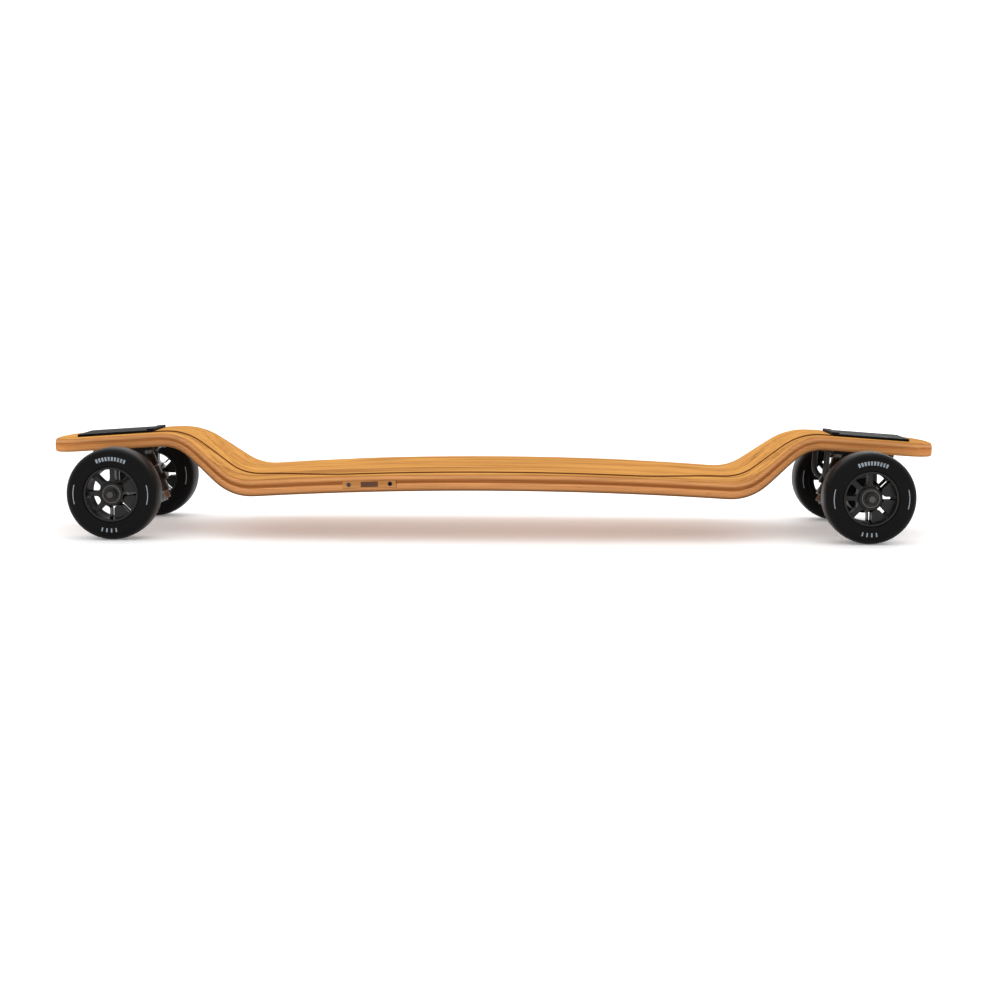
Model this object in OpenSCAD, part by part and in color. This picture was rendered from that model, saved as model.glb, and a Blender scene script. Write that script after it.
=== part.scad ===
// Electric skateboard: a laminated drop deck with a battery bay under an inset lid, two kingpin trucks
// on large wheels, and slim motors inside the rear truck's hanger.
// +X points to the rear of the board, +Y to the rider's right, +Z up; the ground is Z = 0.

/* [Deck] */
// Overall length of the deck
deck_len = 1066; // [1050:1:1180]
// Width of the platform at the middle of the board
platform_w = 264; // [240:1:290]
// Width of the platform where it starts to narrow
shoulder_w = 250; // [236:1:270]
// Width of the necks between the wheels
neck_w = 134; // [110:1:138]
// Distance from the middle to where the platform starts to narrow
flare_start = 270; // [240:1:300]
// Distance from the middle to where the neck is reached
flare_end = 405; // [380:1:412]
// Length of each rounded tip
tip_len = 45; // [30:1:60]
// Squareness of the tip, 2 is an ellipse
tip_power = 2.4; // [2:0.1:4]
// Height of the underside at the middle of the platform
centre_z = 59; // [50:1:70]
// Half length of the cambered platform
platform_half = 277; // [250:1:278]
// Rise of the platform's camber
camber = 9; // [4:0.5:14]
// Steepest angle of the ramps up to the necks
ramp_angle = 39; // [30:1:42]
// Rise from the lowest point of the underside to its crest
kick_rise = 54; // [45:1:56]
// Underside radius at the foot of each ramp
valley_r = 70; // [40:1:80]
// Underside radius at the top of each ramp
crest_r = 50; // [40:1:55]
// Fall of each end towards its tip
end_slope = 4; // [1:0.5:6]

/* [Laminations] */
// Thickness of the bottom ply
bottom_ply_t = 5; // [4:0.5:6]
// Thickness of the core ply at the ends
core_end_t = 5; // [3:0.5:5]
// Thickness of the core ply at the middle
core_mid_t = 8.5; // [5.5:0.5:9]
// Thickness of the top ply
top_ply_t = 6; // [5.5:0.5:8]

/* [Lid and battery bay] */
// Thickness of the inset lid
lid_t = 5; // [4.5:0.5:6]
// Height that the lid stands above the deck
lid_proud = 1.5; // [0:0.5:2]
// Gap round the lid
lid_gap = 0.4; // [0.2:0.1:1]
// Width of the lid over the battery bay
lid_w = 220; // [205:1:225]
// Width of the lid on the ramps and necks
lid_tail_w = 80; // [60:1:90]
// Distance from the middle to where the lid starts to narrow
lid_flare_start = 165; // [150:1:175]
// Distance from the middle to where the lid reaches its tail width
lid_flare_end = 300; // [280:1:330]
// Length of the battery bay
bay_len = 380; // [360:2:400]
// Width of the battery bay
bay_w = 168; // [150:1:180]
// Thickness of a battery cell
cell_t = 7.6; // [6:0.1:8]
// Number of cell columns along the board
cell_cols = 4; // [2:1:4]
// Gap between battery cells
cell_gap = 2; // [1:0.5:4]
// Length of the motor controller
controller_len = 84; // [70:1:90]
// Diameter of the lid screws' threads
lid_screw_d = 4; // [3:0.5:5]
// Diameter of the lid screws' heads
lid_screw_head_d = 8; // [6:0.5:9]

/* [Side panel] */
// Length of the panel in the left edge of the deck
panel_len = 62; // [50:1:80]
// Distance of the panel's centre forward of the middle
panel_x = 140; // [100:1:145]
// Diameter of the power button
button_d = 4.6; // [3:0.1:5]
// Travel of the power button
button_travel = 1; // [0.5:0.1:1.5]
// Distance between the power button and the charge socket
panel_dots = 48; // [40:1:54]
// Length of the battery gauge's window
gauge_len = 20; // [14:1:26]

/* [Wheels] */
// Distance between the front and rear axles
wheelbase = 877; // [860:1:930]
// Outer diameter of a tyre
tyre_d = 107; // [96:1:110]
// Width of a tyre
tyre_w = 46; // [42:1:64]
// Diameter of the wheel core's rim
core_d = 64; // [58:1:70]
// Distance between the outer faces of a pair of wheels
track_out = 290; // [280:1:310]
// Rounding of the tyre's shoulders
shoulder_r = 9; // [4:1:14]
// Number of spokes in a wheel core
spokes = 8; // [5:1:12]
// Width of a spoke
spoke_w = 4.8; // [3:0.1:7]
// Width of the wheel hub
hub_w = 34; // [32:1:50]
// Outer diameter of a wheel bearing
bearing_d = 22; // [20:1:24]
// Width of a wheel bearing
bearing_w = 7; // [6:0.5:8]
// Diameter of the front axle
axle_d = 8; // [7:0.5:9]

/* [Trucks] */
// Length of a truck baseplate
baseplate_len = 80; // [76:1:90]
// Width of a truck baseplate
baseplate_w = 58; // [56:1:66]
// Thickness of a truck baseplate's flange
baseplate_t = 6; // [5:0.5:8]
// Bolt spacing along the board
bolt_pitch_x = 53.9; // [50:0.1:58]
// Bolt spacing across the board
bolt_pitch_y = 41.3; // [41:0.1:44]
// Diameter of the truck bolts
bolt_d = 5; // [4:0.5:6]
// Diameter of the kingpin
kingpin_d = 10; // [8:0.5:11]
// Lean of the kingpin's top towards the tip
kingpin_lean = 20; // [14:1:24]
// Outer diameter of a bushing
bushing_d = 25; // [22:0.5:27]
// Height of a bushing
bushing_h = 12; // [10:0.5:13]
// Thickness of the hanger ring between the bushings
ring_t = 9; // [7:0.5:11]
// Diameter of the hanger's pivot nose
pivot_d = 11; // [9:0.5:12]
// Diameter of the hanger beam at its middle
beam_d = 22; // [18:1:24]

/* [Cover plates] */
// Length of a cover plate
cover_len = 93; // [86:1:96]
// Width of a cover plate
cover_w = 82; // [64:1:90]
// Thickness of a cover plate
cover_t = 3; // [2:0.5:4]

/* [Motors] */
// Outer diameter of the motor housings in the rear hanger
motor_d = 42; // [38:1:44]
// Wall of the motor housings
motor_wall = 2.2; // [1.5:0.1:3]
// Diameter of the rotors
rotor_d = 21; // [18:0.5:22]
// Gap between a rotor and its stator
air_gap = 0.5; // [0.4:0.1:1]
// Diameter of the drive shafts
shaft_d = 10; // [8:0.5:11]
// Diameter of a motor lead
lead_d = 7; // [5:0.5:8]

/* [Hidden] */
$fn = 64;

FRONT = -1;
REAR = 1;
LEFT = -1;
RIGHT = 1;

// Fits
run_gap = 0.06;
free_gap = 0.3;
slip_gap = 0.1;

// Far past any piece, for cuts that run right through
past = 60;

// ---- Deck curves -------------------------------------------------------------------------------
deck_end = deck_len / 2;
camber_r = (platform_half * platform_half + camber * camber) / (2 * camber);
edge_slope = asin(platform_half / camber_r);
ramp_len = (kick_rise - (valley_r + crest_r) * (1 - cos(ramp_angle))) / sin(ramp_angle);

// Each point of the underside curve is [x, z, heading], walked outwards from the middle
function platform_pt(f) =
    let (a = edge_slope * f) [camber_r * sin(a), centre_z - camber_r * (1 - cos(a)), -a];
valley_c = platform_pt(1) + valley_r * [sin(edge_slope), cos(edge_slope), 0];
function valley_pt(f) =
    let (a = -edge_slope + (ramp_angle + edge_slope) * f)
    [valley_c[0] + valley_r * sin(a), valley_c[1] - valley_r * cos(a), a];
ramp_top = valley_pt(1) + ramp_len * [cos(ramp_angle), sin(ramp_angle), 0];
crest_c = ramp_top + crest_r * [sin(ramp_angle), -cos(ramp_angle), 0];
function crest_pt(f) =
    let (a = ramp_angle - (ramp_angle + end_slope) * f)
    [crest_c[0] - crest_r * sin(a), crest_c[1] + crest_r * cos(a), a];
function end_z(x) = crest_pt(1)[1] - (x - crest_pt(1)[0]) * tan(end_slope);

platform_steps = 10;
bend_steps = 8;
half_path = concat(
    [for (i = [0:platform_steps]) platform_pt(i / platform_steps)],
    [for (i = [1:bend_steps]) valley_pt(i / bend_steps)],
    [for (i = [0:bend_steps]) crest_pt(i / bend_steps)],
    [[deck_end + past, end_z(deck_end + past), -end_slope]]
);
path = concat(
    [for (i = [len(half_path) - 1:-1:1]) [-half_path[i][0], half_path[i][1], -half_path[i][2]]],
    half_path
);

function smooth(t) = t <= 0 ? 0 : t >= 1 ? 1 : t * t * (3 - 2 * t);
function mix(a, b, t) = a + (b - a) * smooth(t);
function core_t(x) =
    mix(core_mid_t, core_end_t, (abs(x) - platform_half) / (crest_c[0] - platform_half));

// A layer's height above the underside is [fixed part, share of the core's thickness]
UNDERSIDE = [0, 0];
BOTTOM_TOP = [bottom_ply_t, 0];
CORE_TOP = [bottom_ply_t, 1];
DECK_TOP = [bottom_ply_t + top_ply_t, 1];
LID_TOP = [bottom_ply_t + top_ply_t + lid_proud, 1];
LID_FLOOR = [bottom_ply_t + top_ply_t + lid_proud - lid_t, 1];
ABOVE = [bottom_ply_t + top_ply_t + lid_t, 1];
function layer_pt(p, l) =
    let (d = l[0] + l[1] * core_t(p[0])) [p[0] - d * sin(p[2]), p[1] + d * cos(p[2])];

// The deck's side profile between two layers, as a slab across the board
module band(lo, hi, w = 2 * platform_w) {
    rotate([90, 0, 0])
        linear_extrude(height = w, center = true)
            polygon(concat(
                [for (p = path) layer_pt(p, lo)],
                [for (i = [len(path) - 1:-1:0]) layer_pt(path[i], hi)]
            ));
}

// Plan outlines, from the +X +Y quarter walked from the middle to the tip
function deck_hw(x) =
    x < flare_start
    ? platform_w / 2 - (platform_w - shoulder_w) / 2 * pow(x / flare_start, 2)
    : mix(shoulder_w / 2, neck_w / 2, (x - flare_start) / (flare_end - flare_start));
function deck_quarter() = concat(
    [for (i = [0:6]) [flare_start * i / 6, deck_hw(flare_start * i / 6)]],
    [for (i = [1:12]) let (x = flare_start + (flare_end - flare_start) * i / 12) [x, deck_hw(x)]],
    [for (a = [0:9:90]) [
        deck_end - tip_len + tip_len * pow(sin(a), 2 / tip_power),
        a == 90 ? 0 : neck_w / 2 * pow(cos(a), 2 / tip_power)
    ]]
);
function lid_hw(x) =
    mix(lid_w / 2, lid_tail_w / 2, (x - lid_flare_start) / (lid_flare_end - lid_flare_start));
function lid_quarter(c) = concat(
    [[0, lid_w / 2 + c]],
    [for (i = [0:12])
        let (x = lid_flare_start + (lid_flare_end - lid_flare_start) * i / 12) [x, lid_hw(x) + c]],
    [[lid_end + c, lid_tail_w / 2 + c], [lid_end + c, 0]]
);
function outline(q) = concat(
    q,
    [for (i = [len(q) - 2:-1:0]) [q[i][0], -q[i][1]]],
    [for (i = [1:len(q) - 1]) [-q[i][0], -q[i][1]]],
    [for (i = [len(q) - 2:-1:1]) [-q[i][0], q[i][1]]]
);
module plan(q) {
    translate([0, 0, -past])
        linear_extrude(height = 4 * past)
            polygon(outline(q));
}

// ---- Frames on the deck ------------------------------------------------------------------------
axle_x = wheelbase / 2;
axle_z = tyre_d / 2;
truck_z = end_z(axle_x);
end_t = bottom_ply_t + core_end_t + top_ply_t;
mid_t = bottom_ply_t + core_mid_t + top_ply_t;

// Origin on the platform's underside at distance x from the middle, Z square to the deck
module on_platform(x) {
    translate([0, 0, centre_z - camber_r])
        rotate([0, asin(x / camber_r), 0])
            translate([0, 0, camber_r])
                children();
}

// Origin on the underside over an axle, X towards the middle of the board, Z square to the deck
module truck_frame(end) {
    mirror([end == REAR ? 1 : 0, 0, 0])
        translate([-axle_x, 0, truck_z])
            rotate([0, -end_slope, 0])
                children();
}

// ---- Truck points, in the truck frame, as [x, z] -----------------------------------------------
axle_drop = truck_z - axle_z;
axle_pt = [-axle_drop * sin(end_slope), -axle_drop * cos(end_slope)];
ring_pt = axle_pt + [23, 2];
pivot_pt = [axle_pt[0] - 21, -12.2];
steer_tilt = atan2(pivot_pt[1] - ring_pt[1], ring_pt[0] - pivot_pt[0]);
neck_in = 16;
neck_pt = pivot_pt + neck_in * [cos(steer_tilt), -sin(steer_tilt)];
seat_h = ring_t / 2 + bushing_h;
base_x = axle_pt[0] - 5;
cover_x = axle_pt[0] - 12;
lid_end = axle_x - (cover_x + cover_len / 2) * cos(end_slope) - lid_gap;

module at_xz(p) {
    translate([p[0], 0, p[1]])
        children();
}

// Z along the kingpin, upwards, with its origin at the middle of the hanger ring
module kingpin_frame() {
    at_xz(ring_pt)
        rotate([0, -kingpin_lean, 0])
            children();
}

// Z along the steering axis, towards the tip and the deck, with its origin at the pivot
module pivot_frame() {
    at_xz(pivot_pt)
        rotate([0, steer_tilt - 90, 0])
            children();
}

// A turned nose with a rounded tip, its tip's centre at the origin
module pivot_nose(r, len) {
    rotate_extrude()
        polygon(concat(
            [[0, -len], [r, -len]],
            [for (a = [0:15:90]) [a == 90 ? 0 : r * cos(a), r * sin(a)]]
        ));
}

module below_deck() {
    intersection() {
        children();
        translate([-2 * past, -past, -2 * past])
            cube([4 * past, 2 * past, 2 * past]);
    }
}

module tube(h, r_out, r_in) {
    difference() {
        cylinder(h = h, r = r_out);
        translate([0, 0, -1])
            cylinder(h = h + 2, r = r_in);
    }
}

// ---- Deck pieces -------------------------------------------------------------------------------
lid_screw_rows = [60, 150];
lid_screw_y = (bay_w + lid_w) / 4;
lid_end_screw = [cover_x + cover_len / 2 + 10, lid_tail_w / 4];
screw_sink = 3;
screw_head_t = 2.4;
screw_skin = 1.2;

module at_platform_screws() {
    for (x = lid_screw_rows)
        for (sx = [-1, 1])
            for (sy = [-1, 1])
                on_platform(sx * x)
                    translate([0, sy * lid_screw_y, 0])
                        children();
}

module at_end_screws() {
    for (end = [FRONT, REAR])
        for (sy = [-1, 1])
            truck_frame(end)
                translate([lid_end_screw[0], sy * lid_end_screw[1], 0])
                    children();
}

module lid_screw_hole() {
    translate([0, 0, -1])
        cylinder(h = screw_sink + 1, d = lid_screw_head_d + 2 * free_gap);
    cylinder(h = mid_t, d = lid_screw_d + 2 * free_gap);
}

module lid_screw_holes() {
    at_platform_screws()
        lid_screw_hole();
    at_end_screws()
        lid_screw_hole();
}

bolt_xs = [base_x - bolt_pitch_x / 2, base_x + bolt_pitch_x / 2];
module at_truck_bolts() {
    for (x = bolt_xs)
        for (sy = [-1, 1])
            translate([x, sy * bolt_pitch_y / 2, 0])
                children();
}

module bolt_holes() {
    at_truck_bolts()
        translate([0, 0, -past / 2])
            cylinder(h = past, d = bolt_d + 2 * free_gap);
}

module deck_bolt_holes() {
    for (end = [FRONT, REAR])
        truck_frame(end)
            bolt_holes();
}

bay_floor = bottom_ply_t;
module bay(lo, hi) {
    intersection() {
        band(lo, hi);
        translate([-bay_len / 2, -bay_w / 2, -past])
            cube([bay_len, bay_w, 4 * past]);
    }
}

// Slots in the core ply for the wires from the bay to the leads at the rear truck
lead_y = 45;
lead_in = 20;
lead_bend = 16;
lead_fall = 26;
lead_x = lead_in + lead_bend;
slot_w = 9;
module wire_slots(w, start, past_lead) {
    for (sy = [-1, 1])
        translate([start, sy * lead_y - w / 2, -past])
            cube([axle_x - lead_x * cos(end_slope) + past_lead - start, w, 4 * past]);
}

module at_lead_holes() {
    for (sy = [-1, 1])
        truck_frame(REAR)
            translate([lead_x, sy * lead_y, 0])
                children();
}

grommet_d = lead_d + 4;
grommet_lip = 2.5;
module panel_box(c) {
    translate([-panel_x - panel_len / 2 - c, -platform_w, -past])
        cube([panel_len + 2 * c, platform_w - bay_w / 2 + 2, 4 * past]);
}

module deck_bottom_ply() {
    color("#b47d4f")
        difference() {
            intersection() {
                band(UNDERSIDE, BOTTOM_TOP);
                plan(deck_quarter());
            }
            lid_screw_holes();
            deck_bolt_holes();
            at_lead_holes()
                translate([0, 0, -past / 2])
                    cylinder(h = past, d = grommet_d);
        }
}

module deck_core_ply() {
    color("#965c39")
        difference() {
            intersection() {
                band(BOTTOM_TOP, CORE_TOP);
                plan(deck_quarter());
            }
            bay(UNDERSIDE, ABOVE);
            lid_screw_holes();
            deck_bolt_holes();
            wire_slots(slot_w, bay_len / 2 - 1, grommet_d / 2);
            panel_box(free_gap);
        }
}

module deck_top_ply() {
    color("#d9a066")
        difference() {
            intersection() {
                band(CORE_TOP, DECK_TOP);
                plan(deck_quarter());
            }
            intersection() {
                band(LID_FLOOR, ABOVE);
                plan(lid_quarter(lid_gap));
            }
            bay(UNDERSIDE, ABOVE);
            lid_screw_holes();
            deck_bolt_holes();
        }
}

module battery_lid() {
    color("#cf9a5f")
        difference() {
            intersection() {
                band(LID_FLOOR, LID_TOP);
                plan(lid_quarter(0));
            }
            at_end_screws()
                cylinder(h = end_t - screw_skin, d = lid_screw_d);
            at_platform_screws()
                cylinder(h = mid_t - screw_skin, d = lid_screw_d);
        }
}

module lid_screw(grip) {
    socket_af = lid_screw_d * 0.7;
    difference() {
        union() {
            translate([0, 0, screw_sink - screw_head_t])
                cylinder(h = screw_head_t, d = lid_screw_head_d);
            cylinder(h = grip - screw_skin, d = lid_screw_d);
        }
        translate([0, 0, -1])
            cylinder(h = screw_sink, d = socket_af, $fn = 6);
    }
}

module lid_screws() {
    color("#2b2b2d") {
        at_platform_screws()
            lid_screw(mid_t);
        at_end_screws()
            lid_screw(end_t);
    }
}

// ---- Battery and electronics -------------------------------------------------------------------
bms_len = 18;
controller_w = 110;
cells_len = bay_len - bms_len - controller_len - 4 * cell_gap;
cell_len = (cells_len - (cell_cols - 1) * cell_gap) / cell_cols;
cell_w = (bay_w - 3 * cell_gap) / 2;
cells_x = -bay_len / 2 + bms_len + 2 * cell_gap;
function cell_x(i) = cells_x + cell_len / 2 + i * (cell_len + cell_gap);
function camber_sag(l) = l * l / (8 * camber_r);
floor_z = bay_floor + slip_gap;

module block(x, y, size, z = floor_z) {
    on_platform(x)
        translate([-size[0] / 2, y - size[1] / 2, z])
            cube(size);
}

module battery_cells() {
    color("#5d6a78")
        for (i = [0:cell_cols - 1])
            for (sy = [-1, 1])
                block(cell_x(i), sy * (cell_w + cell_gap) / 2, [cell_len, cell_w, cell_t]);
}

link_t = 0.3;
link_w = 8;
module cell_links() {
    color("#b9bcc0")
        for (i = [0:cell_cols - 2])
            for (sy = [-1, 1])
                block(
                    (cell_x(i) + cell_x(i + 1)) / 2, sy * bay_w / 4,
                    [4 * link_w, link_w, link_t], floor_z + cell_t + camber_sag(cell_len)
                );
}

module battery_bms() {
    color("#1f6b46")
        block(-bay_len / 2 + cell_gap + bms_len / 2, 0, [bms_len, bay_w - 2 * cell_gap, cell_t - 2]);
}

controller_x = bay_len / 2 - cell_gap - controller_len / 2;
controller_y = -(bay_w - controller_w) / 2 + cell_gap;
fin_t = 1.4;
fins = 9;
module motor_controller() {
    base_t = cell_t - 2.4;
    color("#3a3d42") {
        block(controller_x, controller_y, [controller_len, controller_w, base_t]);
        for (i = [0:fins - 1])
            block(
                controller_x,
                controller_y + (i - (fins - 1) / 2) * (controller_w - fin_t) / (fins - 1),
                [controller_len, fin_t, cell_t - 0.4]
            );
    }
}

receiver = [38, 26, 5];
module radio_receiver() {
    color("#27548a")
        block(controller_x, (bay_w - receiver[1]) / 2 - 2 * cell_gap, receiver);
}

// Flat wires from the controller, through the slots in the core ply, to the motor leads
wire_t = 2.4;
module wiring_harness() {
    start = bay_len / 2 - cell_gap / 2;
    wire_w = slot_w - 2 * free_gap;
    color("#222222")
        intersection() {
            band([bottom_ply_t + free_gap, 0], [bottom_ply_t + free_gap + wire_t, 0]);
            wire_slots(wire_w, start, -lead_d / 2 - 2 * free_gap);
        }
}

// ---- Side panel --------------------------------------------------------------------------------
panel_t = 4;
panel_h = core_mid_t - 2 * (slip_gap + camber_sag(panel_len));
panel_z = bottom_ply_t + core_mid_t / 2;
panel_edge = deck_hw(panel_x);
button_x = -panel_dots / 2;
socket_x = panel_dots / 2;
flange_t = 1;
panel_wall = 0.5;
switch_room = button_travel + flange_t + 2 * free_gap;

// Origin in the middle of the panel's outer face, Z pointing into the deck, X to the rear
module panel_frame() {
    on_platform(-panel_x)
        translate([0, -panel_edge, panel_z])
            rotate([-90, 0, 0])
                children();
}

module side_panel() {
    box_d = switch_room + 4;
    color("#e0b587")
        difference() {
            intersection() {
                union() {
                    panel_frame()
                        translate([-panel_len / 2, -panel_h / 2, -5])
                            cube([panel_len, panel_h, panel_t + 5]);
                    panel_frame()
                        translate([button_x - 6, -panel_h / 2, panel_t - 1])
                            cube([12, panel_h, box_d]);
                }
                plan(deck_quarter());
            }
            panel_frame() {
                translate([button_x, 0, -6])
                    cylinder(h = 6 + panel_t, d = button_d + 2 * slip_gap);
                translate([button_x - 4, -panel_h / 2 + panel_wall, panel_t])
                    cube([8, panel_h - 2 * panel_wall, switch_room]);
                translate([socket_x, 0, -6])
                    cylinder(h = 7 + panel_t, d = button_d + 0.8);
                translate([-gauge_len / 2, -panel_h / 2 + 0.9, -6])
                    cube([gauge_len, panel_h - 1.8, 7 + panel_t]);
            }
        }
}

module power_button() {
    color("#141414")
        panel_frame()
            translate([button_x, 0, 0]) {
                cylinder(h = panel_t + flange_t, d = button_d);
                translate([-3, -panel_h / 2 + 1.2, panel_t + slip_gap])
                    cube([6, panel_h - 2.4, flange_t]);
            }
}

module battery_gauge() {
    color("#101216")
        panel_frame()
            translate([-gauge_len / 2, -panel_h / 2 + 0.9, 0.3])
                cube([gauge_len, panel_h - 1.8, panel_t + 4]);
}

module charge_socket() {
    color("#1a1a1a")
        panel_frame()
            translate([socket_x, 0, 0.2]) {
                difference() {
                    cylinder(h = 16, d = button_d + 0.8);
                    translate([0, 0, -1])
                        cylinder(h = 10, d = button_d - 1);
                }
                cylinder(h = 10, d = 1);
            }
}

// ---- Cover plates and truck bolts --------------------------------------------------------------
bolt_head_d = 9.4;
bolt_head_t = 2.4;
nut_af = 8;
nut_t = 4;
lip_len = 9;
lip_t = 1.4;
cover_corner = 5;

module rounded_plate(len, w, t, r) {
    linear_extrude(height = t)
        polygon([
            for (c = [[1, 1, 0], [-1, 1, 90], [-1, -1, 180], [1, -1, 270]])
                for (a = [0:15:90])
                    [
                        c[0] * (len / 2 - r) + r * cos(c[2] + a),
                        c[1] * (w / 2 - r) + r * sin(c[2] + a)
                    ]
        ]);
}

module cover_plate(end) {
    color("#1c1a19")
        truck_frame(end)
            difference() {
                union() {
                    translate([cover_x, 0, end_t])
                        rounded_plate(cover_len, cover_w, cover_t, cover_corner);
                    translate([cover_x + cover_len / 2 - lip_len, -cover_w / 2 + cover_corner, end_t])
                        cube([lip_len, cover_w - 2 * cover_corner, cover_t + lip_t]);
                }
                bolt_holes();
                at_truck_bolts()
                    translate([0, 0, end_t + cover_t - bolt_head_t])
                        cylinder(h = bolt_head_t + 1, d1 = bolt_d + 2 * free_gap, d2 = bolt_head_d + 2.6);
            }
}

module truck_bolt() {
    difference() {
        union() {
            translate([0, 0, end_t + cover_t - bolt_head_t])
                cylinder(h = bolt_head_t - 0.2, d1 = bolt_d, d2 = bolt_head_d);
            translate([0, 0, -baseplate_t - nut_t - 2])
                cylinder(h = baseplate_t + nut_t + 2 + end_t + cover_t - bolt_head_t, d = bolt_d);
        }
        translate([0, 0, end_t + cover_t - 2])
            cylinder(h = 3, d = 3.4, $fn = 6);
    }
}

module truck_bolts() {
    color("#2b2b2d")
        for (end = [FRONT, REAR])
            truck_frame(end)
                at_truck_bolts()
                    truck_bolt();
}

module hex_nut(af, t, bore) {
    difference() {
        cylinder(h = t, d = af / cos(30), $fn = 6);
        translate([0, 0, -1])
            cylinder(h = t + 2, d = bore, $fn = 64);
    }
}

module truck_nuts() {
    color("#55585c")
        for (end = [FRONT, REAR])
            truck_frame(end)
                at_truck_bolts()
                    translate([0, 0, -baseplate_t - nut_t])
                        hex_nut(nut_af, nut_t, bolt_d);
}

// ---- Truck pieces that stay with the deck ------------------------------------------------------
cup_out = pivot_d / 2 + 1;
cup_in = 7;
cup_wall = 2.6;
cup_r = pivot_d / 2 + cup_wall;
boss_wall = 4;
head_af = 15;
head_t = 6;
web_t = 7;
washer_t = 1.5;
king_nut_af = 17;
king_nut_t = 8;
king_tail = 2;

module baseplate(end) {
    color("#232220")
        truck_frame(end)
            difference() {
                below_deck() {
                    translate([base_x, 0, -baseplate_t])
                        rounded_plate(baseplate_len, baseplate_w, baseplate_t, 8);
                    kingpin_frame()
                        translate([0, 0, seat_h])
                            cylinder(h = past, d = bushing_d + 1);
                    pivot_frame()
                        translate([0, 0, -cup_in])
                            cylinder(h = cup_in + cup_out + boss_wall, r = cup_r + boss_wall);
                    translate([pivot_pt[0], -4, -11])
                        cube([ring_pt[0] - pivot_pt[0], 8, 11]);
                }
                kingpin_frame() {
                    cylinder(h = past, d = kingpin_d);
                    translate([0, 0, seat_h + web_t])
                        cylinder(h = past, d = head_af / cos(30) + 2 * free_gap);
                }
                pivot_frame()
                    translate([0, 0, -cup_in - 1])
                        cylinder(h = cup_in + cup_out + 1, r = cup_r);
                bolt_holes();
            }
}

module pivot_cup(end) {
    color("#2e2c2a")
        truck_frame(end)
            pivot_frame()
                difference() {
                    translate([0, 0, -cup_in])
                        cylinder(h = cup_in + cup_out, r = cup_r);
                    pivot_nose(pivot_d / 2 + run_gap, cup_in + 1);
                    cylinder(h = past, d = pivot_d / 2);
                }
}

module kingpin(end) {
    tail = seat_h + washer_t + king_nut_t + king_tail;
    color("#6b6e73")
        truck_frame(end)
            kingpin_frame() {
                translate([0, 0, -tail])
                    cylinder(h = tail + seat_h + web_t, d = kingpin_d);
                translate([0, 0, seat_h + web_t])
                    cylinder(h = head_t, d = head_af / cos(30), $fn = 6);
            }
}

module kingpin_nut(end) {
    color("#77797d")
        truck_frame(end)
            kingpin_frame()
                translate([0, 0, -seat_h - washer_t - king_nut_t])
                    hex_nut(king_nut_af, king_nut_t, kingpin_d);
}

// The upper washer is let into the top of the upper bushing, so both seats stay where they are
module kingpin_washers(end) {
    color("#8d9094")
        truck_frame(end)
            kingpin_frame() {
                translate([0, 0, -seat_h - washer_t])
                    tube(washer_t, bushing_d / 2, kingpin_d / 2);
                translate([0, 0, seat_h - washer_t])
                    tube(washer_t, bushing_d / 2, kingpin_d / 2);
            }
}

module bushings(end) {
    color("#24201e")
        truck_frame(end)
            kingpin_frame() {
                translate([0, 0, ring_t / 2 + run_gap])
                    tube(bushing_h - run_gap - washer_t, bushing_d / 2, kingpin_d / 2);
                translate([0, 0, -seat_h])
                    tube(bushing_h - run_gap, bushing_d / 2, kingpin_d / 2);
            }
}

// ---- Motor leads -------------------------------------------------------------------------------
module lead_grommets() {
    color("#1b1b1b")
        at_lead_holes()
            union() {
                translate([0, 0, -grommet_lip])
                    tube(grommet_lip + bottom_ply_t - free_gap, grommet_d / 2, lead_d / 2);
                translate([0, 0, -grommet_lip])
                    tube(grommet_lip - slip_gap, grommet_d / 2 + 2, lead_d / 2);
            }
}

module motor_leads() {
    color("#161616")
        for (sy = [-1, 1])
            truck_frame(REAR)
                translate([lead_in, sy * lead_y, -lead_fall]) {
                    rotate([90, 0, 0])
                        rotate([0, 0, -90])
                            rotate_extrude(angle = 90)
                                translate([lead_bend, 0])
                                    circle(d = lead_d);
                    translate([lead_bend, 0, 0])
                        cylinder(h = lead_fall + bottom_ply_t + free_gap + wire_t, d = lead_d);
                }
}

// ---- Hangers -----------------------------------------------------------------------------------
wheel_y = track_out / 2 - tyre_w / 2;
hub_in = wheel_y - hub_w / 2;
hub_out = wheel_y + hub_w / 2;
hanger_end = hub_in - 7;
ring_r = bushing_d / 2 + 4;
bush_room = bushing_d / 2 + 3.2;
beam_r = beam_d / 2;
beam_tip_r = 8;
nose_r = pivot_d / 2;
neck_r = nose_r + 2;
ring_bore = kingpin_d / 2 + 1.3;

// Z along the axle towards the rider's right, origin at the middle of the axle
module axle_frame(end) {
    truck_frame(end)
        at_xz(axle_pt)
            rotate([-90, 0, 0])
                children();
}

module both_sides() {
    children();
    mirror([0, 0, 1])
        children();
}

// The ring, beam and pivot nose that both hangers share
module hanger_core(beam_half) {
    difference() {
        union() {
            kingpin_frame()
                translate([0, 0, -ring_t / 2])
                    cylinder(h = ring_t, r = ring_r);
            translate([axle_pt[0], 0, axle_pt[1]])
                rotate([90, 0, 0])
                    cylinder(h = 2 * beam_half, r = beam_r, center = true);
            arm();
            at_xz(neck_pt)
                sphere(r = neck_r);
            pivot_frame()
                pivot_nose(nose_r, neck_in);
        }
        kingpin_frame() {
            translate([0, 0, ring_t / 2])
                cylinder(h = past, r = bush_room);
            translate([0, 0, -ring_t / 2 - past])
                cylinder(h = past, r = bush_room);
            cylinder(h = past, r = ring_bore, center = true);
        }
    }
}

module arm() {
    rise = neck_pt - axle_pt;
    at_xz(axle_pt)
        rotate([0, atan2(rise[0], rise[1]), 0])
            cylinder(h = norm(rise), r1 = beam_r - 1, r2 = neck_r - 1);
}

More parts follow.
